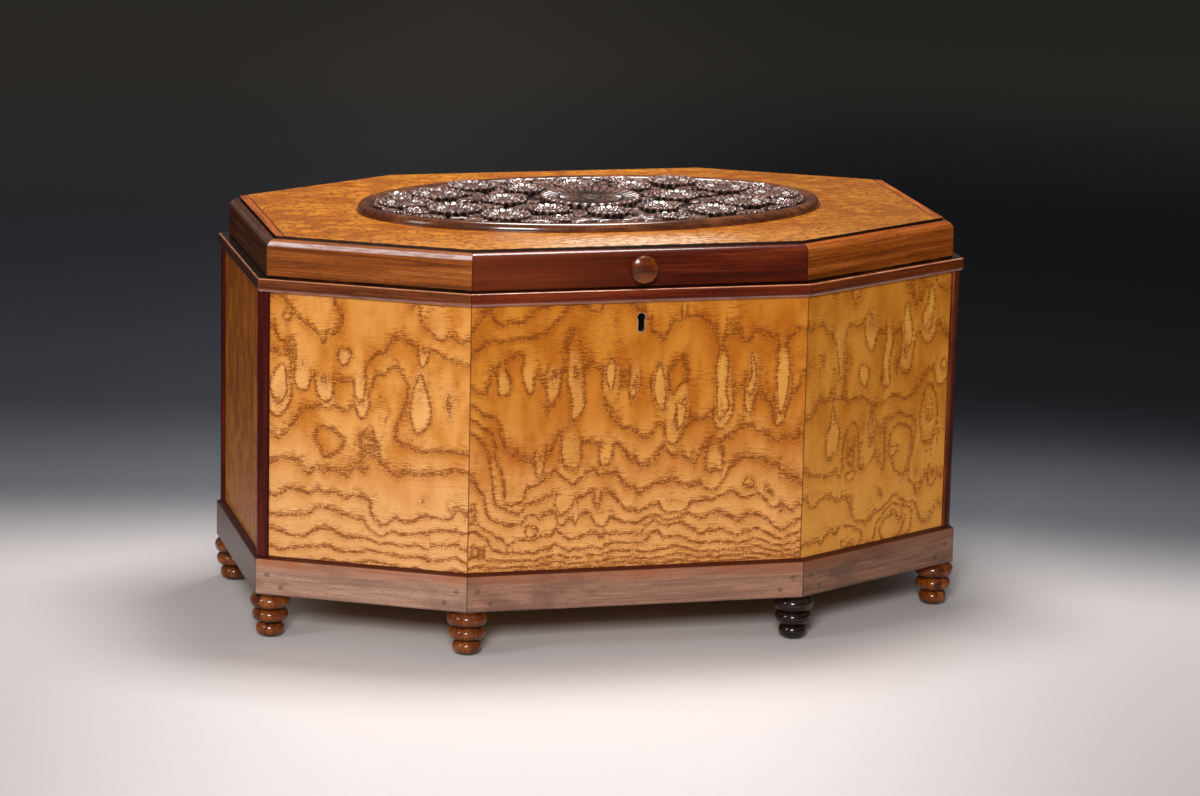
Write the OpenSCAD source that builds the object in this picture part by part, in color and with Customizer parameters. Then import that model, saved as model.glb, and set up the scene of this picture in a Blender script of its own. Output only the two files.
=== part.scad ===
// Octagonal veneered chest with a hinged lid, turned feet and a carved oval on the lid.
// Millimetres, +Z up, front face towards -Y, origin on the floor under the middle of the octagon.

/* [Chest outline] */
// Overall width over the plinth
chest_w = 560; // [500:1:620]
// Overall depth over the plinth
chest_d = 338; // [310:1:380]
// Width of the front face at the plinth
front_w = 264.5; // [230:0.5:300]
// Depth of each end face at the plinth
end_d = 179; // [160:1:200]

/* [Base] */
// Height of the plinth's upright face
plinth_face_h = 27.4; // [22:0.1:36]
// Rise of the bevel from the plinth's face up to the veneer
plinth_bevel_h = 2.2; // [1:0.1:5]
// Radius of the plinth's arris, where its face meets the bevel
plinth_arris_r = 1.2; // [0.4:0.1:2]
// Thickness of the bottom board inside the plinth
base_board_t = 16; // [14:0.5:20]

/* [Carcass] */
// Height of the veneered panels between plinth and rim
panel_h = 205.1; // [160:0.1:260]
// Thickness of the eight carcass boards
carcass_t = 14; // [12.5:0.1:18]
// Thickness of the face veneers
veneer_t = 1.2; // [0.6:0.1:2]
// Distance from the plinth's face in to the veneered faces
face_inset = 5.2; // [4:0.1:7]

/* [Corner beads] */
// Width of the bead's leg on each of the two faces it covers
bead_leg = 6; // [4.5:0.1:8]
// Radius of each of the two reeds
reed_r = 3; // [2.2:0.1:3.6]
// Distance that the reeds stand proud of the veneer
reed_proud = 3.2; // [2.4:0.1:3.6]

/* [Rim] */
// Height of the rim moulding
rim_h = 10.9; // [9:0.1:16]
// Distance from the plinth's face in to the rim's face
rim_inset = 0.5; // [0:0.1:2]
// Rounding of the rim's upper arris
rim_top_r = 2; // [1:0.1:3]
// Rounding of the rim's lower arris
rim_bottom_r = 4.4; // [2:0.1:5]

/* [Feet] */
// Height of a foot below the plinth
foot_h = 35.5; // [32:0.5:50]
// Distance from the plinth's faces in to the middle of a foot
foot_inset = 13; // [11:0.5:16]
// Widest diameter of the upper bead
foot_d1 = 31; // [26:0.5:34]
// Widest diameter of the middle bead
foot_d2 = 28; // [22:0.5:30]
// Widest diameter of the ball that stands on the floor
foot_d3 = 22; // [18:0.5:24]
// Height of the upper bead
foot_bead1_h = 11.5; // [9:0.1:14]
// Height of the middle bead
foot_bead2_h = 10.5; // [8:0.1:12]
// Height of the collar above the upper bead
foot_collar_h = 1.5; // [1:0.1:2.5]
// Diameter of the spigot that is glued into the bottom board
spigot_d = 8; // [6:0.5:9]
// Length of the spigot
spigot_l = 12; // [8:0.5:13]

/* [Lid] */
// Height of the lid's frame moulding
lid_frame_h = 28.7; // [24:0.1:36]
// Distance from the plinth's face in to the lid's frame
lid_inset = 8.3; // [7.5:0.1:9.5]
// Width of the rounded ledge between the frame's face and the top panel
lid_ledge = 7.6; // [6:0.1:8.2]
// Radius of the frame's rounded upper arris
lid_round_r = 7.2; // [3:0.1:7.4]
// Easing of the frame's lower arris
lid_ease_r = 1.2; // [0.5:0.1:2]
// Height of the top panel above the frame
lid_panel_rise = 2; // [1:0.1:4]
// Thickness of the lid's board
lid_board_t = 9; // [7:0.5:12]
// Thickness of the lid's veneer
lid_veneer_t = 0.9; // [0.6:0.1:1.5]
// Width of the crossbanded strip at each end of the lid's veneer
lid_strip_w = 6.5; // [4:0.5:10]
// Width of the dark groove round the lid's board
lid_groove = 1; // [0.5:0.1:1.5]

/* [Carved oval] */
// Length of the oval
oval_l = 371; // [300:1:400]
// Width of the oval
oval_w = 206; // [160:1:220]
// Width of the oval's plain border
oval_border = 12; // [6:0.5:14]
// Height of the oval's border
oval_border_h = 6.6; // [4:0.1:8]
// Height of the sunk ground inside the border
oval_ground_h = 2.5; // [1.5:0.1:3.5]
// Height of the large middle rosette
rosette_h = 11; // [8:0.1:12]
// Height of the flowers round the rosette
inner_flower_h = 9.6; // [6:0.1:10]
// Height of the outer flowers
outer_flower_h = 9; // [6:0.1:10]
// Height of the buds
bud_h = 6.6; // [4:0.1:8]

/* [Knob] */
// Diameter of the knob
knob_d = 21; // [16:0.5:26]
// Distance that the knob stands out from the lid's face
knob_proud = 12.8; // [11:0.1:16]
// Diameter of the knob's neck
knob_neck_d = 11; // [8:0.5:14]
// Height of the knob's middle above the lid's lower edge
knob_z = 15.2; // [12:0.1:17]
// Diameter of the knob's spigot
knob_spigot_d = 7; // [5:0.5:8]

/* [Lock] */
// Width of the lock's case
lock_w = 66; // [62:1:80]
// Height of the lock's case below its selvedge
lock_h = 40; // [38:1:50]
// Depth of the lock's case
lock_t = 9; // [8.5:0.1:11]
// Thickness of the lock's plates
lock_plate_t = 1.2; // [0.8:0.1:1.6]
// Ear of the selvedge plate beyond the case on each side
selvedge_ear = 7; // [6:0.5:10]
// Distance between the two staples on the link plate
staple_gap = 28; // [24:1:32]
// Travel of the lock's bolt
bolt_travel = 5; // [4:0.1:5.5]

/* [Keyhole] */
// Distance from the rim's top down to the middle of the keyhole
keyhole_drop = 26.4; // [25.5:0.1:30]
// Height of the keyhole inside its lining
keyhole_h = 14.4; // [12:0.1:16]
// Diameter of the keyhole's round top
keyhole_top_d = 6.4; // [6:0.1:8]
// Width of the keyhole's straight part
keyhole_slot_w = 4.8; // [4.5:0.1:5.4]
// Wall of the keyhole's lining
lining_t = 0.6; // [0.4:0.1:1]
// Depth of the keyhole's lining
lining_depth = 4; // [2:0.1:5]

/* [Hinges] */
// Length of each butt hinge
hinge_l = 56; // [45:1:70]
// Distance from the chest's middle to the middle of each hinge
hinge_x = 84; // [70:1:90]
// Radius of the hinges' knuckles
knuckle_r = 3; // [2.6:0.1:3.2]
// Thickness of the hinges' leaves
leaf_t = 1.6; // [1.2:0.1:2]
// Diameter of the hinges' pins
hinge_pin_d = 2.6; // [2:0.1:3]
// Length of the screws in hinges, selvedge and link plate
screw_l = 9; // [7:0.5:12]
// Diameter of the screws in hinges and lock
screw_d = 2.6; // [2:0.1:3]
// Length of the screws that hold the bottom board
base_screw_l = 38; // [30:1:50]
// Diameter of the screws that hold the bottom board
base_screw_d = 4; // [3:0.1:5]

/* [Fits] */
// Radial clearance of turned spigots in their holes
spigot_fit = 0.05; // [0.02:0.01:0.1]
// Radial clearance of screws in their holes
screw_fit = 0.05; // [0.02:0.01:0.1]
// Glue joint between pieces that meet inside one group
glue_joint = 0.05; // [0.02:0.01:0.1]
// Radial clearance of the hinge pins in the knuckles
pin_fit = 0.06; // [0.02:0.01:0.1]
// Clearance between hinge knuckles, and from them to the wood
knuckle_gap = 0.4; // [0.3:0.05:0.6]
// Clearance round the lock's moving bolt and staples
lock_fit = 0.3; // [0.2:0.05:0.4]

/* [Hidden] */
$fn = 64;
// The eight faces and the eight corners, anticlockwise from above; corner k starts face k
FACES = ["front", "front_right", "right_end", "back_right", "back", "back_left", "left_end", "front_left"];
CORNERS = ["front_left", "front_right", "right_front", "right_back",
           "back_right", "back_left", "left_back", "left_front"];
// Only the corners between an end and a canted face carry a bead
BEADS = [2, 3, 6, 7];

// Colours of the woods and metals
rosewood = [0.30, 0.12, 0.07];
rosewood_dark = [0.20, 0.07, 0.06];
rosewood_faded = [0.50, 0.33, 0.25];
ash = [0.82, 0.55, 0.25];
pine = [0.74, 0.58, 0.38];
brass = [0.72, 0.56, 0.28];
steel = [0.45, 0.45, 0.46];

// Plan of the octagon: direction and distance of each face
cant_angle = atan2(chest_d - end_d, chest_w - front_w);
cant_dist = (sin(cant_angle) * front_w + cos(cant_angle) * chest_d) / 2;
face_angle = [0, cant_angle, 90, 180 - cant_angle, 180, 180 + cant_angle, 270, 360 - cant_angle];
face_dist = [chest_d / 2, cant_dist, chest_w / 2, cant_dist, chest_d / 2, cant_dist, chest_w / 2, cant_dist];
// Reach of cutting shapes beyond what they cut
spill = 20;
over = 1;

// Heights from the floor
plinth_z = foot_h;
panel_z = plinth_z + plinth_face_h + plinth_bevel_h;
rim_z = panel_z + panel_h;
rim_top_z = rim_z + rim_h;
frame_top_z = rim_top_z + lid_frame_h;
panel_top_z = frame_top_z + lid_panel_rise;
lid_board_z = panel_top_z - lid_veneer_t - lid_board_t;

// Insets from the plinth's outline
carcass_inset = face_inset + veneer_t;
inner_inset = carcass_inset + carcass_t;
panel_inset = lid_inset + lid_ledge;

// Depths behind the front face's line, and the front and back reference lines
front_y = -chest_d / 2;
inner_front_y = front_y + inner_inset;

// Hinge pivots, on the plane where lid and rim meet
hinge_y = chest_d / 2 - lid_inset + knuckle_r + knuckle_gap;
// Wood left between a leaf and the chest's inside
leaf_wall = 1.6;
leaf_w = hinge_y - (chest_d / 2 - inner_inset) - leaf_wall;
knuckles = 5;
knuckle_l = hinge_l / knuckles;
// Head of a countersunk screw, in shank diameters
head_d = 1.9;
head_h = 0.55;
slot_w = 0.24;
slot_h = 0.27;
leaf_screw_margin = 6;
leaf_screw_x = hinge_l / 2 - leaf_screw_margin;
leaf_screw_y = hinge_y - (leaf_w + knuckle_r + 1) / 2;

// Lock, measured down from the rim's top and inwards from the carcass's inner side
selvedge_t = 2;
link_plate_t = 2;
lock_y = inner_front_y - lock_t;
lock_floor_z = rim_top_z - selvedge_t - lock_h;
lock_cap_t = 1.4;
lock_inside_y = lock_y + lock_plate_t;
lock_cap_y = inner_front_y - lock_cap_t;
lock_mid_y = (lock_inside_y + lock_cap_y) / 2;
lock_post_r = 3;
// Depth that the screw posts run into the walls beside them
sink = 0.5;
lock_post_x = lock_w / 2 - lock_plate_t - lock_post_r + sink;
lock_post_z = [rim_top_z - selvedge_t - lock_post_r + sink, lock_floor_z + lock_plate_t + lock_post_r - sink];
lock_screw_grip = 3;
lock_screw_l = lock_t + lock_screw_grip;
selvedge_w = lock_w + 2 * selvedge_ear;
selvedge_screw_x = lock_w / 2 + selvedge_ear / 2;

// Staples of the link plate and the bolt that enters them
staple_t = 2.6;
staple_w = 5;
staple_drop = 9.6;
window_w = 2.6;
window_h = 4;
window_sill = 1.6;
window_z = rim_top_z - staple_drop + window_sill;
bolt_bar_h = 5.8;
bolt_bar_z = rim_top_z - staple_drop - 2 * lock_fit - bolt_bar_h;
bolt_bar_t = lock_cap_y - lock_inside_y - 2 * lock_fit;
finger_t = window_w - 2 * lock_fit;
finger_h = window_h - 2 * lock_fit;
finger_w = 3;
// Space between an unlocked finger and its staple, and the bar's length beyond its fingers
finger_gap = 0.5;
bolt_end = 2;
bolt_left = staple_gap / 2 + staple_t / 2 + finger_gap + bolt_travel + finger_w + bolt_end;
bolt_right = staple_gap / 2 - staple_t / 2 + bolt_end;
talon_w = 6;
talon_h = 2.2;
guide_r = 2;

// Keyhole
keyhole_z = rim_top_z - keyhole_drop;
keyhole_waist = 0.2;
keyhole_bottom_r = keyhole_slot_w / 2 + keyhole_waist;

// Collar on top of each foot
foot_collar_d = foot_d1 - foot_bead1_h + 2;
// Middle of the corner beads between their reeds, proud of the veneer, and the flat beside each reed
bead_web = 0.8;
bead_flat = 0.2;

// Knob, along its own axis from the lid's face outwards
knob_disc_h = 8.6;
knob_disc_back = knob_proud - knob_disc_h;
knob_dome_h = 2.6;
knob_spigot_l = 9;

// Half length and half width of the oval's sunk ground
ground_a = oval_l / 2 - oval_border;
ground_b = oval_w / 2 - oval_border;
// Carved flowers: place as shares of the ground's halves, radius as a share of its half width, and petals;
// each stands in one quarter of the oval and is mirrored to the others
ROSETTE = [0, 0, 0.4, 14];
INNER_FLOWERS = [[0, 0.56, 0.165, 8], [0.248, 0.45, 0.165, 8], [0.385, 0, 0.185, 8]];
OUTER_FLOWERS = [[0.473, 0.655, 0.2, 9], [0.67, 0.33, 0.215, 9], [0.845, 0, 0.215, 9]];
BUDS = [[0.835, 0.36, 0.1, 6], [0.24, 0.81, 0.1, 6]];
// Steps that round the plinth's arris
arris_steps = 4;
// Steps that round the oval's border
border_steps = 3;
oval_points = 72;

// Corner k of the octagon, moved outwards by the given amount
function corner(k, out) =
    let (a = face_angle[(k + 7) % 8],
         b = face_angle[k % 8],
         da = face_dist[(k + 7) % 8] + out,
         db = face_dist[k % 8] + out)
    [(db * cos(a) - da * cos(b)) / sin(b - a), (db * sin(a) - da * sin(b)) / sin(b - a)];

function outline(out) = [for (k = [0:7]) corner(k, out)];

// Plan of face k between two insets, with mitred ends that are each shortened by a little
function mitred_strip(k, outer, inner, short) =
    let (step = short * [cos(face_angle[k]), sin(face_angle[k])])
    [corner(k, -outer) + step, corner(k + 1, -outer) - step,
     corner(k + 1, -inner) - step, corner(k, -inner) + step];

// Position along face k of a corner at an inset
function along(k, c, inset) = corner(c, -inset) * [cos(face_angle[k]), sin(face_angle[k])];

module octagon_slab(inset, z, height) {
    translate([0, 0, z]) linear_extrude(height) polygon(outline(-inset));
}

module face_slab(k, outer, inner, z, height, short = 0) {
    translate([0, 0, z]) linear_extrude(height) polygon(mitred_strip(k, outer, inner, short));
}

// Children stand on face k: x along the face, y inwards from the plinth's line
module on_face(k) {
    rotate([0, 0, face_angle[k]]) translate([0, -face_dist[k], 0]) children();
}

// A straight moulding on face k with mitred ends; the child is its section, x inwards and y up
module moulding(k, z, height, depth) {
    intersection() {
        on_face(k) translate([-chest_w / 2, 0, z]) rotate([90, 0, 90]) linear_extrude(chest_w) children();
        face_slab(k, -spill, depth + over, z - over, height + 2 * over);
    }
}

// Cuts a round arris off the upper left corner of a section that is at x = 0, y = top
module round_cut(r) {
    difference() {
        translate([-over, -r]) square([r + over, r + over]);
        translate([r, -r]) circle(r);
    }
}

module plinth_section() {
    turn = 90 - atan2(plinth_bevel_h, face_inset);
    lead = plinth_arris_r * tan(turn / 2);
    arris = [for (i = [0:arris_steps])
        let (t = 180 - turn * i / arris_steps)
        [plinth_arris_r * (1 + cos(t)), plinth_face_h - lead + plinth_arris_r * sin(t)]];
    top = plinth_face_h + plinth_bevel_h;
    polygon(concat([[0, 0]], arris, [[face_inset, top], [carcass_inset, top], [carcass_inset, 0]]));
}

module rim_section() {
    difference() {
        translate([rim_inset, 0]) square([inner_inset - rim_inset, rim_h]);
        translate([rim_inset, rim_h]) round_cut(rim_top_r);
        translate([rim_inset, 0]) mirror([0, 1]) round_cut(rim_bottom_r);
    }
}

module lid_frame_section() {
    difference() {
        translate([lid_inset, 0]) square([inner_inset - lid_inset, lid_frame_h]);
        translate([lid_inset, lid_frame_h]) round_cut(lid_round_r);
        translate([lid_inset, 0]) mirror([0, 1]) round_cut(lid_ease_r);
        translate([panel_inset, lid_board_z - rim_top_z])
            square([inner_inset - panel_inset + over, lid_frame_h]);
    }
}

// Wood screw with its head up at z = 0, grown all round for its hole
module screw(length, d, grow = 0) {
    translate([0, 0, -head_h * d]) cylinder(h = head_h * d, d1 = d + 2 * grow, d2 = head_d * d + 2 * grow);
    translate([0, 0, -length - grow]) cylinder(h = length + grow - head_h * d, d = d + 2 * grow);
}

module slotted_screw(length, d) {
    difference() {
        screw(length, d);
        translate([-head_d * d, -slot_w * d / 2, -slot_h * d]) cube([2 * head_d * d, slot_w * d, d]);
    }
}

// The small screw of hinges and lock, as a screw or as its hole
module small_screw(length = screw_l) {
    slotted_screw(length, screw_d);
}

module small_hole(length = screw_l) {
    screw(length, screw_d, screw_fit);
}

// Places of the bottom board's screws: one under the middle of each carcass board, heads down
module at_base_screws() {
    for (k = [0:7])
        on_face(k)
            translate([(along(k, k, inner_inset) + along(k, k + 1, inner_inset)) / 2,
                       carcass_inset + carcass_t / 2, plinth_z])
                mirror([0, 0, 1]) children();
}

// Places of the screws: three in each hinge leaf
module at_leaf_screws() {
    for (side = [-1, 1])
        for (i = [-1:1])
            translate([side * hinge_x + i * leaf_screw_x, leaf_screw_y, rim_top_z]) children();
}

module at_selvedge_screws() {
    for (side = [-1, 1])
        translate([side * selvedge_screw_x, lock_mid_y, rim_top_z]) children();
}

// Screws through the lock's cap into the front board, heads inside the chest
module at_lock_screws() {
    for (side = [-1, 1])
        for (z = lock_post_z)
            translate([side * lock_post_x, inner_front_y, z]) rotate([-90, 0, 0]) children();
}

// Bed of the two hinges in the wood below or above the joint plane
module hinge_beds(up) {
    for (side = [-1, 1])
        translate([side * hinge_x - hinge_l / 2, hinge_y - leaf_w, rim_top_z - (up ? 0 : leaf_t)])
            cube([hinge_l, leaf_w, leaf_t]);
}

module knuckle_notches() {
    for (side = [-1, 1])
        translate([side * hinge_x - hinge_l / 2, hinge_y - knuckle_r - knuckle_gap,
                   rim_top_z - knuckle_r - knuckle_gap])
            cube([hinge_l, knuckle_r + knuckle_gap + spill, knuckle_r + knuckle_gap + over]);
}

module knuckle_bore() {
    translate([-hinge_l, 0, 0]) rotate([0, 90, 0]) cylinder(h = 2 * hinge_l, d = hinge_pin_d + 2 * pin_fit);
}

// One leaf with its share of the knuckles, about the pivot; up is the lid's leaf
module hinge_leaf(up) {
    first = up ? 1 : 0;
    difference() {
        union() {
            translate([-hinge_l / 2, -leaf_w, up ? 0 : -leaf_t]) cube([hinge_l, leaf_w, leaf_t]);
            for (i = [first:2:knuckles - 1])
                translate([-hinge_l / 2 + i * knuckle_l + knuckle_gap / 2, 0, 0])
                    rotate([0, 90, 0]) cylinder(h = knuckle_l - knuckle_gap, r = knuckle_r);
        }
        for (i = [1 - first:2:knuckles - 1])
            translate([-hinge_l / 2 + i * knuckle_l - knuckle_gap / 2, 0, 0])
                rotate([0, 90, 0]) cylinder(h = knuckle_l + knuckle_gap, r = knuckle_r + knuckle_gap);
        knuckle_bore();
    }
}

module hinge_leaves(up) {
    difference() {
        for (side = [-1, 1]) translate([side * hinge_x, hinge_y, rim_top_z]) hinge_leaf(up);
        at_leaf_screws() mirror([0, 0, up ? 1 : 0]) small_hole();
    }
}

// Outline of the keyhole, grown all round; its middle is at the origin
module keyhole_shape(grow) {
    translate([0, keyhole_h / 2 - keyhole_top_d / 2]) circle(r = keyhole_top_d / 2 + grow);
    translate([0, -keyhole_h / 2 + keyhole_bottom_r]) circle(r = keyhole_bottom_r + grow);
    translate([-keyhole_slot_w / 2 - grow, -keyhole_h / 2 + keyhole_bottom_r])
        square([keyhole_slot_w + 2 * grow, keyhole_h - keyhole_bottom_r - keyhole_top_d / 2]);
}

// A keyhole-shaped bar from depth y, going inwards
module keyhole_bar(grow, y, depth) {
    translate([0, y + depth, keyhole_z]) rotate([90, 0, 0]) linear_extrude(depth) keyhole_shape(grow);
}

module lock_bed() {
    translate([-lock_w / 2, lock_y, lock_floor_z]) cube([lock_w, lock_t + over, lock_h + selvedge_t + over]);
    translate([-selvedge_w / 2, lock_y, rim_top_z - selvedge_t])
        cube([selvedge_w, lock_t + over, selvedge_t + over]);
}

// Plan of the corner region that the bead takes from the two veneers
module bead_bed(c) {
    on_face((c + 7) % 8)
        translate([along((c + 7) % 8, c, face_inset) - bead_leg, -spill])
            square([bead_leg + spill, carcass_inset + spill]);
    on_face(c)
        translate([along(c, c, face_inset) - spill, -spill])
            square([bead_leg + spill, carcass_inset + spill]);
}

module base_board() {
    color(pine) difference() {
        octagon_slab(carcass_inset, plinth_z, base_board_t);
        for (k = [0:7])
            translate([corner(k, -foot_inset)[0], corner(k, -foot_inset)[1], plinth_z - over])
                cylinder(h = spigot_l + over + spigot_fit, d = spigot_d + 2 * spigot_fit);
        at_base_screws() screw(base_screw_l, base_screw_d, screw_fit);
    }
}

module carcass_boards() {
    color(pine) difference() {
        for (k = [0:7])
            face_slab(k, carcass_inset, inner_inset, plinth_z + base_board_t,
                      rim_z - plinth_z - base_board_t, glue_joint / 2);
        lock_bed();
        keyhole_bar(lining_t, front_y, inner_inset);
        at_leaf_screws() small_hole();
        at_base_screws() screw(base_screw_l, base_screw_d, screw_fit);
        at_lock_screws() small_hole(lock_screw_l);
    }
}

module veneer(k) {
    color(ash) difference() {
        face_slab(k, face_inset, carcass_inset, panel_z, panel_h);
        for (c = BEADS)
            if (c == k || c == k + 1)
                translate([0, 0, panel_z - over]) linear_extrude(panel_h + 2 * over) bead_bed(c);
        if (k == 0) keyhole_bar(lining_t, front_y, inner_inset);
    }
}

module plinth(k) {
    color(rosewood_faded) moulding(k, plinth_z, plinth_face_h + plinth_bevel_h, carcass_inset)
        plinth_section();
}

module rim(k) {
    color(rosewood) difference() {
        moulding(k, rim_z, rim_h, inner_inset) rim_section();
        if (k == 0) lock_bed();
        if (k == 0) at_lock_screws() small_hole(lock_screw_l);
        if (k == 0) at_selvedge_screws() small_hole();
        if (k == 4) hinge_beds(false);
        if (k == 4) knuckle_notches();
        if (k == 4) at_leaf_screws() small_hole();
    }
}

// Two reeds side by side over the corner, scribed to the carcass
module corner_bead(c) {
    reed_x = bead_leg - bead_flat - reed_r;
    reed_y = face_inset - reed_proud + reed_r;
    color(rosewood_dark) translate([0, 0, panel_z]) linear_extrude(panel_h) difference() {
        intersection() {
            union() {
                on_face((c + 7) % 8)
                    translate([along((c + 7) % 8, c, face_inset) - reed_x, reed_y]) circle(reed_r);
                on_face(c)
                    translate([along(c, c, face_inset) + reed_x, reed_y]) circle(reed_r);
                polygon(outline(bead_web - face_inset));
            }
            bead_bed(c);
        }
        polygon(outline(-carcass_inset));
    }
}

// A turned disc with a full round edge, standing on z = 0
module round_disc(d, h) {
    rotate_extrude() {
        square([(d - h) / 2, h]);
        intersection() {
            translate([(d - h) / 2, h / 2]) circle(h / 2);
            square([d, h]);
        }
    }
}

module foot(c) {
    ball_h = foot_h - foot_collar_h - foot_bead1_h - foot_bead2_h;
    color(rosewood) translate([corner(c, -foot_inset)[0], corner(c, -foot_inset)[1], 0]) {
        round_disc(foot_d3, ball_h);
        translate([0, 0, ball_h]) round_disc(foot_d2, foot_bead2_h);
        translate([0, 0, ball_h + foot_bead2_h]) round_disc(foot_d1, foot_bead1_h);
        translate([0, 0, foot_h - foot_collar_h]) cylinder(h = foot_collar_h, d = foot_collar_d);
        translate([0, 0, foot_h - over]) cylinder(h = spigot_l + over, d = spigot_d);
    }
}

module keyhole_lining() {
    color(brass) difference() {
        keyhole_bar(lining_t, front_y + face_inset, lining_depth);
        keyhole_bar(0, front_y, inner_inset);
    }
}

// Open box with the selvedge on top, two guide pegs under the bolt and four screw posts
module lock_case() {
    color(brass) difference() {
        union() {
            difference() {
                union() {
                    translate([-lock_w / 2, lock_y, lock_floor_z])
                        cube([lock_w, lock_t - lock_cap_t, lock_h + selvedge_t]);
                    translate([-selvedge_w / 2, lock_y, rim_top_z - selvedge_t])
                        cube([selvedge_w, lock_t, selvedge_t]);
                }
                translate([-lock_w / 2 + lock_plate_t, lock_inside_y, lock_floor_z + lock_plate_t])
                    cube([lock_w - 2 * lock_plate_t, lock_t, lock_h - lock_plate_t]);
            }
            for (side = [-1, 1])
                for (z = lock_post_z)
                    translate([side * lock_post_x, lock_cap_y, z]) rotate([90, 0, 0])
                        cylinder(h = lock_cap_y - lock_y, r = lock_post_r);
            for (side = [-1, 1])
                translate([side * staple_gap / 2, lock_cap_y, bolt_bar_z - lock_fit - guide_r])
                    rotate([90, 0, 0]) cylinder(h = lock_cap_y - lock_y, r = guide_r);
        }
        for (side = [-1, 1])
            translate([side * staple_gap / 2 - staple_t / 2 - lock_fit, lock_mid_y - staple_w / 2 - lock_fit,
                       rim_top_z - selvedge_t - over])
                cube([staple_t + 2 * lock_fit, staple_w + 2 * lock_fit, selvedge_t + 2 * over]);
        keyhole_bar(lining_t, lock_y - over, lock_plate_t + 2 * over);
        at_lock_screws() small_hole(lock_screw_l);
        at_selvedge_screws() small_hole();
    }
}

module lock_cap() {
    color(brass) difference() {
        translate([-lock_w / 2, lock_cap_y, lock_floor_z]) cube([lock_w, lock_cap_t, lock_h]);
        at_lock_screws() small_hole(lock_screw_l);
    }
}

// Bar with a notch for the key and two hooked fingers for the staples
module lock_bolt() {
    color(steel) difference() {
        union() {
            translate([-bolt_left, lock_mid_y - bolt_bar_t / 2, bolt_bar_z])
                cube([bolt_left + bolt_right, bolt_bar_t, bolt_bar_h]);
            for (side = [-1, 1]) {
                tip = side * staple_gap / 2 - staple_t / 2 - finger_gap;
                translate([tip - bolt_travel - finger_w, lock_mid_y - finger_t / 2, bolt_bar_z])
                    cube([finger_w, finger_t, window_z + window_h - lock_fit - bolt_bar_z]);
                translate([tip - bolt_travel - finger_w, lock_mid_y - finger_t / 2, window_z + lock_fit])
                    cube([finger_w + bolt_travel, finger_t, finger_h]);
            }
        }
        translate([-talon_w / 2, lock_y, bolt_bar_z - over]) cube([talon_w, lock_t, talon_h + over]);
    }
}

module hinge_leaves_chest() {
    color(brass) hinge_leaves(false);
}

module hinge_pins() {
    color(steel) for (side = [-1, 1])
        translate([side * hinge_x - hinge_l / 2, hinge_y, rim_top_z])
            rotate([0, 90, 0]) cylinder(h = hinge_l, d = hinge_pin_d);
}

module chest_screws() {
    color(brass) {
        at_leaf_screws() small_screw();
        at_selvedge_screws() small_screw();
        at_lock_screws() small_screw(lock_screw_l);
        at_base_screws() slotted_screw(base_screw_l, base_screw_d);
    }
}

module lid_frame(k) {
    color(rosewood) difference() {
        moulding(k, rim_top_z, lid_frame_h, inner_inset) lid_frame_section();
        if (k == 0) link_plate_bed();
        if (k == 0) at_selvedge_screws() mirror([0, 0, 1]) small_hole();
        if (k == 0) knob_bar(knob_spigot_d / 2 + spigot_fit, -over, knob_spigot_l + spigot_fit + over);
        if (k == 4) hinge_beds(true);
        if (k == 4) at_leaf_screws() mirror([0, 0, 1]) small_hole();
    }
}

module lid_board() {
    color(rosewood_dark) octagon_slab(panel_inset + lid_groove, lid_board_z, lid_board_t);
}

// One main sheet and a strip along each end
module lid_veneer() {
    strip_x = chest_w / 2 - panel_inset - lid_strip_w;
    z = panel_top_z - lid_veneer_t;
    color(ash) {
        intersection() {
            octagon_slab(panel_inset, z, lid_veneer_t);
            translate([glue_joint - strip_x, -chest_d, z - over])
                cube([2 * (strip_x - glue_joint), 2 * chest_d, lid_veneer_t + 2 * over]);
        }
        for (side = [-1, 1])
            intersection() {
                octagon_slab(panel_inset, z, lid_veneer_t);
                translate([side * (strip_x + spill) - spill, -chest_d, z - over])
                    cube([2 * spill, 2 * chest_d, lid_veneer_t + 2 * over]);
            }
    }
}

module oval_disc(inset, h) {
    a = oval_l / 2 - inset;
    b = oval_w / 2 - inset;
    linear_extrude(h) polygon([for (i = [0:oval_points - 1])
        let (t = 360 * i / oval_points)
        [a * cos(t), b * sin(t)]]);
}

// The border's half round, in steps; its inner and outer sides are alike
module oval_border_ring() {
    difference() {
        for (i = [1:border_steps])
            oval_disc(oval_border / 2 * (1 - cos(90 * (i - 1) / border_steps)),
                      oval_border_h * sin(90 * i / border_steps));
        for (i = [1:border_steps])
            translate([0, 0, i == 1 ? 0 : oval_border_h * sin(90 * (i - 1) / border_steps)])
                oval_disc(oval_border / 2 * (1 + cos(90 * (i - 1) / border_steps)), oval_border_h);
    }
}

// A scalloped disc with one rounded lobe for each petal
module flower(r, petals, h) {
    steps = 3 * petals;
    lobe = 0.16;
    linear_extrude(h) polygon([for (i = [0:steps - 1])
        let (t = 360 * i / steps)
        r * (1 - lobe + lobe * abs(cos(petals * t / 2))) * [cos(t), sin(t)]]);
}

// Flowers of one height, each set in all the quarters that its place reaches
module flower_set(flowers, h) {
    for (f = flowers)
        for (sx = f[0] == 0 ? [1] : [-1, 1])
            for (sy = f[1] == 0 ? [1] : [-1, 1])
                translate([sx * f[0] * ground_a, sy * f[1] * ground_b, 0]) flower(f[2] * ground_b, f[3], h);
}

module carved_oval() {
    color(rosewood_dark) translate([0, 0, panel_top_z]) {
        oval_disc(oval_border / 2, oval_ground_h);
        oval_border_ring();
        flower_set([ROSETTE], rosette_h);
        flower_set(INNER_FLOWERS, inner_flower_h);
        flower_set(OUTER_FLOWERS, outer_flower_h);
        flower_set(BUDS, bud_h);
    }
}

// A round bar on the knob's axis, from a distance behind the lid's face going inwards
module knob_bar(r, from, length) {
    translate([0, front_y + lid_inset + from, rim_top_z + knob_z])
        rotate([-90, 0, 0]) cylinder(h = length, r = r);
}

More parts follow.
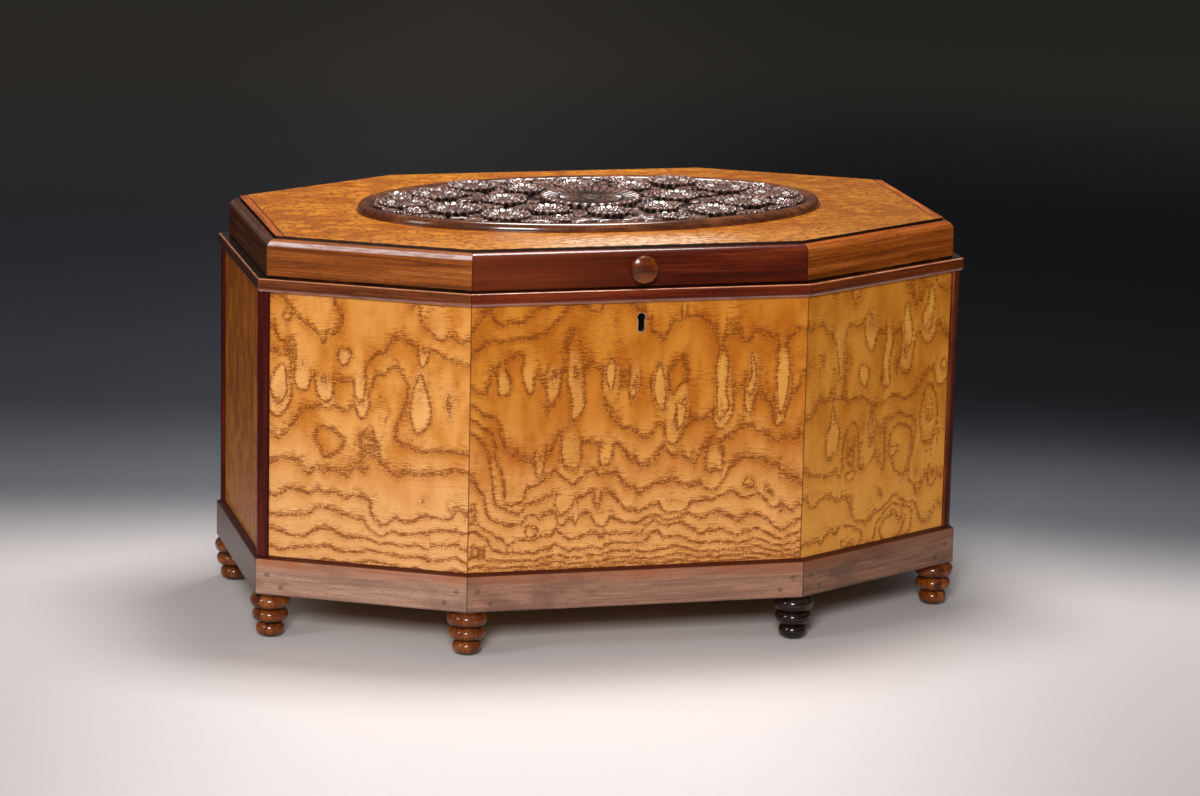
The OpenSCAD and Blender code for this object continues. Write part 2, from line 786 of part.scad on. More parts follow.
// Turned about its own axis, with a domed face
module knob() {
    dome_r = (knob_d * knob_d / 4 + knob_dome_h * knob_dome_h) / (2 * knob_dome_h);
    color(rosewood) {
        knob_bar(knob_spigot_d / 2, -over, knob_spigot_l + over);
        translate([0, front_y + lid_inset, rim_top_z + knob_z]) rotate([90, 0, 0]) {
            cylinder(h = knob_disc_back + over, d = knob_neck_d);
            translate([0, 0, knob_disc_back])
                intersection() {
                    round_disc(knob_d, knob_disc_h);
                    translate([0, 0, knob_disc_h - dome_r]) sphere(dome_r, $fn = 128);
                }
        }
    }
}

module hinge_leaves_lid() {
    color(brass) hinge_leaves(true);
}

module link_plate_bed() {
    translate([-selvedge_w / 2, lock_y, rim_top_z - over])
        cube([selvedge_w, lock_t + over, link_plate_t + over]);
}

module link_plate() {
    color(brass) difference() {
        union() {
            translate([-selvedge_w / 2, lock_y, rim_top_z]) cube([selvedge_w, lock_t, link_plate_t]);
            for (side = [-1, 1])
                translate([side * staple_gap / 2 - staple_t / 2, lock_mid_y - staple_w / 2,
                           rim_top_z - staple_drop])
                    cube([staple_t, staple_w, staple_drop + over]);
        }
        for (side = [-1, 1])
            translate([side * staple_gap / 2 - staple_t, lock_mid_y - window_w / 2, window_z])
                cube([2 * staple_t, window_w, window_h]);
        at_selvedge_screws() mirror([0, 0, 1]) small_hole();
    }
}

module lid_screws() {
    color(brass) {
        at_leaf_screws() mirror([0, 0, 1]) small_screw();
        at_selvedge_screws() mirror([0, 0, 1]) small_screw();
    }
}

base_board();
carcass_boards();
for (k = [0:7]) veneer(k);
for (k = [0:7]) plinth(k);
for (k = [0:7]) rim(k);
for (c = BEADS) corner_bead(c);
for (c = [0:7]) foot(c);
keyhole_lining();
lock_case();
lock_cap();
lock_bolt();
hinge_leaves_chest();
hinge_pins();
chest_screws();
for (k = [0:7]) lid_frame(k);
lid_board();
lid_veneer();
carved_oval();
knob();
hinge_leaves_lid();
link_plate();
lid_screws();
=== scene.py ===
"""Looks of an octagonal veneered chest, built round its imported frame. Metres, +Z up, front towards -Y."""
import math

import bpy
import numpy as np
from mathutils import Matrix, Vector


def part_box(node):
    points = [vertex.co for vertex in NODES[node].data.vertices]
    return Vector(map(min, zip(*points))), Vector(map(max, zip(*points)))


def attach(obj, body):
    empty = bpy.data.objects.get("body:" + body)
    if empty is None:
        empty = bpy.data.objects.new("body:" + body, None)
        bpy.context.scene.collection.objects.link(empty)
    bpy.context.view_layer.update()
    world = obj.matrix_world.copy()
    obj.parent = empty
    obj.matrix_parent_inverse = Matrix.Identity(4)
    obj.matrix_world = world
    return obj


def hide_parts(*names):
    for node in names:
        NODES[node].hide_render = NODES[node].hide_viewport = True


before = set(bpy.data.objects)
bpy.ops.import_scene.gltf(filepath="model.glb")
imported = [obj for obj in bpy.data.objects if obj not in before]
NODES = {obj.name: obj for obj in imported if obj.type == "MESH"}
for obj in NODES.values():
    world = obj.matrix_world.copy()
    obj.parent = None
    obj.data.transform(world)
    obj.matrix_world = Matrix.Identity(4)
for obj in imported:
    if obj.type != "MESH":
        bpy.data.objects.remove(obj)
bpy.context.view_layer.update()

MM = 0.001
FACES = ["front", "front_right", "right_end", "back_right", "back", "back_left", "left_end", "front_left"]
BEAD_CORNERS = ["right_front", "right_back", "left_back", "left_front"]


# Sizes read from the frame, in millimetres

def low(node):
    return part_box(node)[0] / MM


def high(node):
    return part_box(node)[1] / MM


HALF_WIDTH = high("plinth_right_end").x
HALF_DEPTH = -low("plinth_front").y
HALF_FRONT = high("plinth_front").x
HALF_END = high("plinth_right_end").y
FACE_INSET = HALF_DEPTH + low("veneer_front").y
PLINTH_Z = low("plinth_front").z
PANEL_Z = low("veneer_front").z
RIM_Z = low("rim_front").z
LID_Z = low("lid_frame_front").z
FRAME_TOP_Z = high("lid_frame_front").z
LID_INSET = HALF_DEPTH - high("lid_frame_back").y
OVAL_Z = high("lid_veneer").z
OVAL_A = high("carved_oval").x
OVAL_B = high("carved_oval").y

# Directions and distances of the octagon's faces, anticlockwise from the front
CANT = math.atan2(HALF_DEPTH - HALF_END, HALF_WIDTH - HALF_FRONT)
CANT_DIST = math.sin(CANT) * HALF_FRONT + math.cos(CANT) * HALF_DEPTH
FACE_ANGLE = [0, CANT, math.pi / 2, math.pi - CANT,
              math.pi, math.pi + CANT, 1.5 * math.pi, 2 * math.pi - CANT]
FACE_DIST = [HALF_DEPTH, CANT_DIST, HALF_WIDTH, CANT_DIST] * 2


def corner(k, inset=0.0):
    """Corner k of the octagon's plan, where face k starts."""
    a, b = FACE_ANGLE[(k - 1) % 8], FACE_ANGLE[k % 8]
    da, db = FACE_DIST[(k - 1) % 8] - inset, FACE_DIST[k % 8] - inset
    s = math.sin(b - a)
    return Vector(((db * math.cos(a) - da * math.cos(b)) / s, (db * math.sin(a) - da * math.sin(b)) / s, 0))


# Materials

def srgb(red, green, blue):
    """A colour of a picture, 0 to 255, as the linear colour that nodes take."""
    values = [v / 255 for v in (red, green, blue)]
    return (*[v / 12.92 if v <= 0.04045 else ((v + 0.055) / 1.055) ** 2.4 for v in values], 1.0)


class Shader:
    """A Principled material, with short calls that add nodes and give back their sockets."""

    def __init__(self, name, **values):
        self.material = bpy.data.materials.new(name)
        self.material.use_nodes = True
        self.tree = self.material.node_tree
        self.principled = self.tree.nodes["Principled BSDF"]
        for socket, value in values.items():
            self.principled.inputs[socket.replace("_", " ")].default_value = value
        self.place = self.node("TexCoord", output="Object")

    def node(self, kind, inputs=(), output=0, **settings):
        node = self.tree.nodes.new("ShaderNode" + kind)
        for name, value in settings.items():
            setattr(node, name, value)
        for key, value in dict(inputs).items():
            if isinstance(value, bpy.types.NodeSocket):
                self.tree.links.new(value, node.inputs[key])
            else:
                node.inputs[key].default_value = value
        return node.outputs[output]

    def math(self, operation, a, b=0.0, c=0.0):
        return self.node("Math", {0: a, 1: b, 2: c}, operation=operation)

    def vector(self, operation, *inputs):
        """An operation on vectors that gives a number."""
        return self.node("VectorMath", enumerate(inputs), output="Value", operation=operation)

    def times(self, a, b):
        return self.math("MULTIPLY", a, b)

    def times_plus(self, a, b, c):
        return self.math("MULTIPLY_ADD", a, b, c)

    def face_space(self, k):
        """Millimetres with x along face k, y inwards and z up."""
        return self.node("Mapping", {"Vector": self.place, "Rotation": (0, 0, -FACE_ANGLE[k]),
                                     "Scale": (1 / MM,) * 3})

    def split(self, vector):
        node = self.tree.nodes.new("ShaderNodeSeparateXYZ")
        self.tree.links.new(vector, node.inputs[0])
        return node.outputs

    def noise(self, vector, size, seed, detail=2.0, distortion=0.0):
        """Noise from 0 to 1, with spots of the given size along x, y and z."""
        spread = self.node("Mapping", {"Vector": vector, "Scale": [1 / s for s in size],
                                       "Location": (seed * 7.31, seed * 3.77, seed * 5.13)})
        return self.node("TexNoise", {"Vector": spread, "Scale": 1.0, "Detail": detail,
                                      "Distortion": distortion})

    def wave(self, vector, size, seed, detail):
        """Noise round 0 that reaches to about plus and minus 1."""
        return self.times_plus(self.noise(vector, size, seed, detail), 4, -2)

    def step(self, value, start, end, low=0.0, high=1.0):
        """Goes smoothly from low to high while the value goes from start to end."""
        return self.node("MapRange", {"Value": value, "From Min": start, "From Max": end, "To Min": low,
                                      "To Max": high}, interpolation_type="SMOOTHSTEP")

    def line(self, value, start, end, low=0.0, high=1.0):
        """Goes straight from low to high while the value goes from start to end."""
        return self.node("MapRange", {"Value": value, "From Min": start, "From Max": end, "To Min": low,
                                      "To Max": high})

    def mix(self, factor, a, b):
        """Colour a where the factor is 0 and colour b where it is 1."""
        first, second, result = 6, 7, 2
        return self.node("Mix", {0: factor, first: a, second: b}, output=result, data_type="RGBA")

    def stain(self, tint, tone, value, start, end, high=1.0, low=0.0):
        """Puts a picture's tone over a tint, from low to high while the value goes from start to end."""
        return self.mix(self.step(value, start, end, low, high), tint, srgb(*tone))

    def link(self, value, socket):
        self.tree.links.new(value, self.principled.inputs[socket])

    def colour(self, value):
        self.link(value, "Base Color")

    def bump(self, *heights):
        """Adds up bumps, each a height from 0 to 1 and its depth in millimetres."""
        normal = None
        for height, depth in heights:
            inputs = {"Height": height, "Strength": 1.0, "Distance": depth * MM}
            if normal is not None:
                inputs["Normal"] = normal
            normal = self.node("Bump", inputs)
        self.link(normal, "Normal")

    def hills(self, p, wide, tall, seed):
        """Separate rounded hills from 0 to 1 over x and z of p, at this mean spacing."""
        spread = self.node("Mapping", {"Vector": p, "Scale": (0.7 / wide, 0.7 / wide, 1.2 / tall),
                                       "Location": (seed * 4.7, seed * 2.9, seed * 8.3)})
        bend = self.split(self.node("TexNoise", {"Vector": spread, "Scale": 1.0, "Detail": 0.0},
                                    output="Color"))
        place, bend_across, bend_up = self.split(p), 0.8, 0.7
        across = self.times_plus(bend[0], bend_across, seed * 3.17)
        across = self.times_plus(place[0], 1 / wide, across)
        upward = self.times_plus(bend[2], bend_up, seed * 1.41)
        upward = self.times_plus(place[2], 1 / tall, upward)
        cell = {"Vector": self.node("CombineXYZ", {0: across, 1: upward}), "Scale": 1.0, "Randomness": 0.85}
        cells = self.node("TexVoronoi", cell, voronoi_dimensions="2D").node.outputs
        second = self.node("TexVoronoi", cell, voronoi_dimensions="2D", feature="F2")
        near, tone = cells["Distance"], self.split(cells["Color"])[0]
        parting, foot, summit = 0.22, 0.54, 0.04
        apart = self.step(self.math("SUBTRACT", second, near), 0.0, parting)
        height = self.times(self.line(tone, 0.1, 0.85), apart)
        return self.times(self.step(near, foot, summit), height)

    def contours(self, p, level, reach=0.6, flattest=0.03):
        """Distance in millimetres above the nearest lower line of a contour map, and the map's steepness."""
        here = level(p)
        slopes = []
        for shift in ((reach, 0, 0), (0, 0, reach)):
            there = level(self.node("VectorMath", {0: p, 1: shift}, operation="ADD"))
            slopes.append(self.times(self.math("SUBTRACT", there, here), 1 / reach))
        square = self.times_plus(slopes[0], slopes[0], self.times(slopes[1], slopes[1]))
        steep = self.math("MAXIMUM", self.math("SQRT", square), flattest)
        return self.math("DIVIDE", self.math("FRACT", here), steep), steep

    def from_joint(self, k):
        """Distance in millimetres from the nearer mitre of face k."""
        near = []
        for c in (k, k + 1):
            start = corner(c)
            run = (corner(c, inset=10) - start).normalized()
            across = Vector((-run.y, run.x, 0))
            dot = self.vector("DOT_PRODUCT", self.place, across / MM)
            near.append(self.math("ABSOLUTE", self.math("SUBTRACT", dot, across.dot(start))))
        return self.math("MINIMUM", *near)


# Veneers: seed; growth lines crowded at the bottom, how fast they thin out, lines spread over the height;
# height of the waves; loops' width and length in mm, their height at the bottom and the top; strength of the
# lines; tones at the top, at the bottom, of the patches and of the pale loops
# The paler front_left tones and the darker left_end tones are partly the veneers' own and partly painted
# light and shade, as the light falls on those sides.
VENEERS = {
    "front": (3, 6.0, 7.69, 4.6, 0.45, 17, 84, 0.12, 0.22, 1.1,
              (204, 130, 42), (226, 162, 94), (178, 98, 14), (226, 164, 84)),
    "front_left": (14, 5.2, 4.6, 3.0, 0.3, 26, 70, 0.06, 0.12, 1.0,
                   (222, 154, 76), (228, 168, 106), (196, 118, 34), (234, 174, 106)),
    "front_right": (21, 1.6, 3.0, 3.2, 0.35, 16, 90, 0.12, 0.22, 0.76,
                    (212, 142, 48), (220, 152, 64), (188, 112, 24), (228, 164, 76)),
    "right_end": (31, 4.0, 3.5, 1.6, 0.9, 20, 60, 0.4, 1.6, 0.9,
                  (200, 122, 40), (212, 142, 66), (176, 98, 22), (218, 150, 70)),
    "back_right": (43, 5.5, 3.0, 1.6, 0.7, 22, 56, 0.2, 1.6, 0.9,
                   (206, 128, 46), (218, 150, 76), (180, 102, 24), (224, 156, 76)),
    "back": (57, 8.0, 4.0, 1.6, 0.9, 19, 60, 0.3, 1.8, 1.0,
             (204, 126, 42), (220, 150, 78), (176, 94, 16), (224, 152, 70)),
    "back_left": (67, 5.0, 3.0, 1.6, 0.7, 22, 60, 0.3, 1.6, 0.9,
                  (206, 128, 46), (218, 150, 76), (180, 102, 24), (224, 156, 76)),
    "left_end": (79, 1.6, 3.0, 1.4, 0.9, 18, 50, 0.8, 1.5, 1.0,
                 (172, 102, 26), (184, 116, 40), (116, 58, 8), (196, 126, 48)),
}
# Loops of the front veneers: middle as shares across and up, half width and height in mm, and rise in lines.
# The front keeps to 26 loops, as 35 are too many for its shader and turn it black.
LOOPS = {
    "front": (
        (0.103, 0.736, 6.8, 18.2, 0.9), (0.174, 0.725, 6.4, 23.0, 0.8), (0.244, 0.707, 7.6, 21.1, 0.9),
        (0.307, 0.689, 8.8, 38.4, 1.2), (0.411, 0.719, 8.0, 23.0, 1.0), (0.484, 0.705, 6.0, 25.0, 1.0),
        (0.563, 0.671, 8.8, 28.8, 1.3), (0.626, 0.613, 6.4, 19.2, 0.9), (0.605, 0.535, 9.2, 28.8, 1.2),
        (0.751, 0.631, 8.8, 40.3, 1.4), (0.836, 0.668, 8.8, 36.5, 1.3), (0.927, 0.648, 9.2, 42.2, 1.3),
        (0.202, 0.42, 6.8, 17.3, 1.0), (0.295, 0.431, 11.2, 28.8, 1.0), (0.399, 0.403, 10.0, 17.3, 0.8),
        (0.73, 0.339, 12.0, 25.0, 0.9), (0.131, 0.275, 12.0, 21.1, 1.0), (0.281, 0.221, 10.0, 19.2, 1.1),
        (0.38, 0.2, 8.8, 15.4, 1.0), (0.55, 0.127, 12.0, 13.4, -0.8), (0.61, 0.2, 12.0, 14.0, 1.2),
        (0.83, 0.26, 9.0, 11.0, 0.9), (0.895, 0.25, 9.0, 11.0, 0.9), (0.185, 0.17, 10.0, 10.0, -0.8),
        (0.03, 0.13, 16.0, 12.0, -1.0), (-0.04, 0.42, 42.0, 64.0, -2.2),
    ),
    "front_left": (
        (0.084, 0.637, 12.0, 28.5, 1.1), (0.204, 0.721, 10.0, 22.8, 0.8), (0.305, 0.641, 8.8, 17.1, 1.0),
        (0.399, 0.77, 8.0, 16.0, 0.8), (0.481, 0.642, 8.8, 32.3, 1.1), (0.609, 0.649, 20.0, 38.0, -1.1),
        (0.766, 0.64, 11.0, 36.0, 1.05), (0.908, 0.634, 8.8, 20.9, 0.8), (0.776, 0.809, 6.4, 13.3, 0.9),
        (0.098, 0.888, 11.2, 15.2, 0.5), (0.846, 0.923, 12.0, 17.1, 0.6), (0.571, 0.167, 12.0, 17.1, 0.7),
        (0.164, 0.096, 12.0, 11.4, 0.5), (0.836, 0.229, 18.0, 11.4, 0.4), (0.335, 0.464, 18.0, 11.4, -0.5),
    ),
    "front_right": (
        (0.219, 0.75, 8.6, 36.0, 1.1), (0.427, 0.829, 8.6, 22.0, 1.1), (0.397, 0.66, 7.3, 16.0, 0.9),
        (0.542, 0.72, 6.5, 46.0, 0.9), (0.674, 0.765, 8.6, 36.0, 1.2), (0.822, 0.82, 12.9, 28.0, 1.2),
        (0.924, 0.618, 10.8, 16.5, 1.0), (0.845, 0.474, 12.9, 31.5, -1.1), (0.198, 0.429, 10.8, 27.0, 1.1),
        (0.326, 0.389, 10.8, 22.5, -1.0), (0.435, 0.419, 7.7, 25.5, 1.0), (0.656, 0.356, 19.4, 28.5, -1.3),
        (0.626, 0.342, 6.5, 7.5, 0.8), (0.758, 0.283, 7.7, 16.5, 0.9), (0.321, 0.274, 7.7, 10.5, 0.9),
        (0.88, 0.209, 8.6, 12.0, 0.9), (0.331, 0.035, 17.2, 16.5, -1.3), (0.644, 0.056, 30.1, 25.5, -2.2),
        (0.097, 0.222, 8.6, 9.0, 0.7), (0.504, 0.18, 10.8, 10.5, 0.5),
    ),
}
VENEER_LINE = (146, 74, 14)
VENEER_PORE = (104, 44, 6)


def placed_loops(sh, p, face):
    """The sum of rounded hills at the listed places of a face, each bent a little."""
    k = FACES.index(face)
    start, end = corner(k, FACE_INSET), corner(k + 1, FACE_INSET)
    along = (end - start).normalized()
    bend_scale, bend_across, bend_up = (0.045, 0.045, 0.03), 14, 26
    foot, summit = 1.05, 0.25
    spread = sh.node("Mapping", {"Vector": p, "Scale": bend_scale})
    bend = sh.node("TexNoise", {"Vector": spread, "Scale": 1.0, "Detail": 1.0}, output="Color")
    bent = sh.node("VectorMath", {0: bend, 1: (bend_across, 0, bend_up), 2: p}, operation="MULTIPLY_ADD")
    total = 0.0
    for across, up, wide, tall, rise in LOOPS[face]:
        x = start.lerp(end, across).dot(along) + bend_across / 2
        z = PANEL_Z + (RIM_Z - PANEL_Z) * up + bend_up / 2
        spot = sh.node("Mapping", {"Vector": bent, "Scale": (1 / wide, 0, 1 / tall),
                                   "Location": (-x / wide, 0, -z / tall)})
        near = sh.vector("LENGTH", spot)
        total = sh.math("ADD", sh.step(near, foot, summit, 0.0, rise), total)
    return total


def figure(sh, p, seed, bottom, top, lines, thin, spread, waves, wide, tall, low_rise, high_rise, face=None):
    """Contour map of a veneer over x and z of p. Gives its distance and steepness, and its loops' hills."""
    chosen = face in LOOPS
    wave_share, small_low, small_high = (1.3, 0.25, 0.15) if chosen else (0.7, 0.6, 0.5)

    def level(p):
        up = sh.line(sh.split(p)[2], bottom, top)
        rise = sh.math("SUBTRACT", 1.0, sh.math("EXPONENT", sh.times(up, -thin)))
        rise = sh.times_plus(rise, lines, sh.times(up, spread))
        bends = sh.wave(p, (26, 26, 60), seed + 1, detail=0.7)
        rise = sh.times_plus(bends, sh.step(up, 0.0, 0.4, wave_share * waves, waves), rise)
        rise = sh.times_plus(sh.wave(p, (70, 70, 50), seed + 2, detail=0.0), 0.6, rise)
        heights = sh.step(up, 0.05, 0.45, low_rise, high_rise)
        rise = sh.times_plus(sh.hills(p, wide, tall, seed), heights, rise)
        if chosen:
            rise = sh.math("ADD", placed_loops(sh, p, face), rise)
        small = sh.hills(p, 0.6 * wide, 0.45 * tall, seed + 3)
        rise = sh.times_plus(small, sh.step(up, 0.05, 0.45, small_low, small_high), rise)
        return sh.times_plus(sh.wave(p, (5, 5, 9), seed + 4, detail=0.5), 0.02, rise)

    distance, steep = sh.contours(p, level)
    return distance, steep, placed_loops(sh, p, face) if chosen else sh.hills(p, wide, tall, seed)


def pored_bands(sh, p, seed, distance, steep):
    """Bands of pores over the contour lines, wider where these lie apart. Gives the bands and the pores."""
    share_of_gap, narrowest, widest = 0.28, 2.3, 5.0
    wide = sh.math("MAXIMUM", sh.math("DIVIDE", share_of_gap, steep), narrowest)
    wide = sh.math("MINIMUM", wide, widest)
    ragged = sh.line(sh.noise(p, (3.0, 3.0, 1.2), seed + 5, detail=2.0), 0.25, 0.75, -0.07, 0.07)
    share = sh.math("ADD", sh.math("DIVIDE", distance, wide), ragged)
    band = sh.times(sh.step(share, -0.2, 0.3), sh.step(share, 0.3, 1.4, 1, 0))
    tail = sh.step(share, 0.8, 3.0, 1, 0)
    dots = sh.step(sh.noise(p, (1.5, 1.5, 0.8), seed + 6, detail=1.0), 0.42, 0.6)
    dashes = sh.step(sh.noise(p, (6.0, 6.0, 0.8), seed + 7, detail=2.0), 0.46, 0.6)
    pores = sh.math("MAXIMUM", dots, dashes)
    dark = sh.times(band, sh.line(pores, 0, 1, 0.18, 1.15))
    below = sh.math("SUBTRACT", sh.math("DIVIDE", 1.0, steep), distance)
    halo = sh.step(sh.math("DIVIDE", below, wide), 0.1, 1.2, 1, 0)
    dark = sh.times_plus(sh.times(halo, dots), 0.38, dark)
    dark = sh.times(dark, sh.step(wide, 2.6, 4.6, 0.86, 0.72))
    dark = sh.times_plus(sh.times(tail, dashes), 0.3, dark)
    return sh.math("MINIMUM", sh.times_plus(dashes, 0.04, dark), 1.0), pores


def veneer_material(face):
    """Figured ash: growth lines run like a map's contours, made of short pores along the grain."""
    k = FACES.index(face)
    seed, *shape, strength, top, bottom, patch, pale = VENEERS[face]
    sh = Shader("veneer_" + face, Roughness=0.38, Specular_IOR_Level=0.12, Coat_Weight=0.05,
                Coat_Roughness=0.2)
    p = sh.face_space(k)
    distance, steep, hills = figure(sh, p, seed, PANEL_Z, RIM_Z, *shape, face=face)
    dark, pores = pored_bands(sh, p, seed, distance, steep)
    dark = sh.times(dark, strength)
    up = sh.line(sh.split(p)[2], PANEL_Z, RIM_Z)
    ground = sh.mix(sh.step(up, 0.1, 0.75), srgb(*bottom), srgb(*top))
    clouds = sh.noise(p, (17, 17, 40), seed + 8, detail=3)
    patches = sh.times(sh.step(clouds, 0.36, 0.68), sh.step(up, 0.15, 0.6, 0.2, 0.85))
    dark = sh.times_plus(sh.times(patches, pores), 0.2, dark)
    tint = sh.mix(patches, ground, srgb(*patch))
    under = sh.step(sh.times(distance, steep), 0.35, 1.0)
    under = sh.times(under, sh.step(up, 0.1, 0.5, 0.15, 0.5))
    tint = sh.mix(under, tint, srgb(*patch))
    inside = sh.times(sh.step(hills, 0.15, 0.9, 0.0, 0.55), sh.step(up, 0.2, 0.5, 0.15, 1.0))
    tint = sh.mix(inside, tint, srgb(*pale))
    streak = sh.noise(p, (40, 40, 0.8), seed + 9, detail=2)
    tint = sh.stain(tint, VENEER_LINE, streak, 0.35, 0.65, 0.08)
    tint = sh.stain(tint, VENEER_LINE, dark, 0.0, 0.5, 0.75)
    tint = sh.stain(tint, VENEER_PORE, dark, 0.5, 1.0, 0.55)
    joint = sh.step(sh.from_joint(k), 0.15, 0.8, 0.75, 0.0)
    sh.colour(sh.mix(joint, tint, srgb(70, 34, 10)))
    sh.bump((pores, 0.02), (sh.noise(p, (30, 30, 30), seed + 8), 0.05))
    return sh.material


# From the outside of the lid's frame to its veneer, and the width of the strip at each end, as in the part
LID_LEDGE = 7.6
LID_STRIP = 6.5


def lid_veneer_material():
    """Figured ash on the lid, a crossbanded strip along each end, a painted sheen at the front and painted
    shade on the edges.
    """
    sh = Shader("veneer_lid", Roughness=0.34, Specular_IOR_Level=0.25, Coat_Weight=0.1, Coat_Roughness=0.16)
    seed = 91
    p = sh.face_space(0)
    x, y, z = sh.split(p)
    across = sh.math("ABSOLUTE", x)
    flat = sh.node("CombineXYZ", {0: x, 1: z, 2: y})
    distance, steep, loops = figure(sh, flat, seed, -HALF_DEPTH, HALF_DEPTH, lines=3.0, thin=3.0,
                                    spread=26.0, waves=1.2, wide=26, tall=16, low_rise=0.7, high_rise=0.7)
    dark, pores = pored_bands(sh, flat, seed, distance, steep)
    clouds = sh.noise(p, (34, 22, 30), seed + 2, detail=2)
    tint = sh.mix(sh.step(clouds, 0.4, 0.62), srgb(158, 86, 15), srgb(184, 113, 29))
    tint = sh.stain(tint, (206, 128, 38), loops, 0.1, 0.6, 0.7)
    # Painted sheen: the front edge is paler, and a pale patch at the middle of the front, broken by noise,
    # stands in for the polish's sheen.
    tint = sh.stain(tint, (220, 150, 72), y, -80, -150, 0.6)
    painted_sheen = sh.times(sh.step(across, 20, 110, 1, 0), sh.step(y, -104, -140))
    glints = sh.noise(p, (12, 3, 10), seed + 5, detail=3)
    painted_sheen = sh.times(painted_sheen, sh.step(glints, 0.3, 0.6, 0.2, 0.8))
    tint = sh.mix(painted_sheen, tint, srgb(252, 222, 190))
    tint = sh.stain(tint, (146, 74, 16), dark, 0.0, 0.5, 0.55)
    tint = sh.stain(tint, (100, 44, 8), dark, 0.5, 1.0, 0.55)
    flecks = sh.noise(p, (3.6, 9, 5), seed + 7, detail=4)
    tint = sh.stain(tint, (118, 56, 8), flecks, 0.55, 0.63, 0.6)
    tint = sh.stain(tint, (96, 54, 14), x, -60, 240, 0.36)
    strip = HALF_WIDTH - LID_INSET - LID_LEDGE - LID_STRIP
    end = sh.step(across, strip - 0.1, strip + 0.1)
    cross = sh.noise(p, (2.2, 30, 5), seed + 3, detail=3)
    banding = sh.mix(sh.step(cross, 0.4, 0.65), srgb(168, 88, 32), srgb(128, 60, 20))
    tint = sh.mix(end, tint, banding)
    joint = sh.math("ABSOLUTE", sh.math("SUBTRACT", across, strip))
    tint = sh.stain(tint, (24, 9, 4), joint, 0.3, 0.7, 0.0, 0.9)
    # Painted shade: the veneer's upright edges are darkened to stand for the shadow gap under them.
    upright = sh.math("ABSOLUTE", sh.split(sh.node("TexCoord", output="Normal"))[2])
    sh.colour(sh.stain(tint, (20, 8, 4), upright, 0.5, 0.7, 0.0, 0.9))
    sh.bump((pores, 0.02), (sh.noise(p, (25, 25, 25), seed + 4), 0.06))
    return sh.material


def rosewood_material(name, k, seed, dark, mid, light, along=(130, 11, 4.5), joint=0.8, lines=(), under=0.0,
                      left_end_tone=None, **shine):
    """Rosewood with its grain along the face: streaks, fine lines and open pores under a polish. Lines are
    level bands of painted shadow and painted highlight: height, half width, strength and tone of each.
    Undersides take painted shade by a share, and the left end can be browner. The polish is thicker on level
    surfaces, unless a coat weight is given."""
    sh = Shader(name, **{"Roughness": 0.32, "Specular_IOR_Level": 0.1, "Coat_Roughness": 0.1, **shine})
    p = sh.face_space(k)
    longest = max(along)
    streaks = sh.noise(p, along, seed, detail=3.5, distortion=0.5)
    fine = sh.noise(p, [s * 0.16 if s < longest else s * 0.5 for s in along], seed + 1, detail=3)
    pores = sh.noise(p, [s * 0.05 if s < longest else s * 0.06 for s in along], seed + 2, detail=1)
    tint = sh.mix(sh.step(streaks, 0.3, 0.5), srgb(*dark), srgb(*mid))
    tint = sh.stain(tint, light, streaks, 0.48, 0.7)
    tint = sh.stain(tint, dark, fine, 0.4, 0.64, 0.6)
    tint = sh.stain(tint, [v * 0.4 for v in dark], pores, 0.56, 0.66, 0.7)
    clouds = sh.noise(p, (90, 40, 40), seed + 3, detail=1)
    tint = sh.stain(tint, dark, clouds, 0.45, 0.65, 0.4)
    facing = sh.split(sh.node("TexCoord", output="Normal"))[2]
    level = sh.math("ABSOLUTE", facing)
    if "Coat_Weight" not in shine:
        sh.link(sh.step(level, 0.08, 0.36, 0.06, 0.9), "Coat Weight")
    # Painted light: the lines are level bands of painted shadow and painted highlight, broken up by noise.
    for height, half, strength, colour in lines:
        off = sh.math("ABSOLUTE", sh.math("SUBTRACT", sh.split(p)[2], height))
        wear_and_painted_light = sh.noise(p, (14, 14, 3), seed + 6, detail=3)
        wear_and_painted_light = sh.step(wear_and_painted_light, 0.3, 0.6, 0.4 * strength, strength)
        wear_and_painted_light = sh.times(sh.step(off, 0.5 * half, half, 1, 0), wear_and_painted_light)
        wear_and_painted_light = sh.times(wear_and_painted_light, sh.step(level, 0.99, 0.95))
        tint = sh.mix(wear_and_painted_light, tint, srgb(*colour))
    # Painted shade with some grime: where a piece has lines, its level ledges, which lie in the gaps, are
    # darkened.
    if lines:
        tint = sh.stain(tint, (14, 6, 4), level, 0.97, 0.995, 0.8)
    # Painted shade: undersides are darkened by the share under.
    tint = sh.stain(tint, (16, 7, 4), facing, -0.25, -0.8, under)
    if left_end_tone:
        tint = sh.stain(tint, left_end_tone, sh.split(p)[0], 60, -120, 0.5)
    if joint is not None:
        tint = sh.stain(tint, (18, 8, 5), sh.from_joint(k), 0.1, 0.6, 0.0, joint)
    sh.colour(tint)
    sh.bump((fine, 0.025), (sh.noise(p, (22, 22, 14), seed + 4), 0.22))
    return sh.material


# Dark, middle and light tones of the plinth, and its glow under the arris. Other faces look like the front.
# The lighter front_left and the darker front_right and left_end tones are partly the wood's own and partly
# painted light and shade.
PLINTHS = {
    "front": ((104, 70, 56), (136, 96, 78), (160, 116, 92), (150, 84, 48)),
    "front_left": ((118, 84, 68), (154, 116, 98), (176, 136, 114), (160, 92, 54)),
    "front_right": ((80, 50, 34), (116, 78, 56), (140, 98, 74), (128, 72, 38)),
    "left_end": ((70, 46, 40), (92, 66, 58), (108, 80, 70), (80, 44, 30)),
}


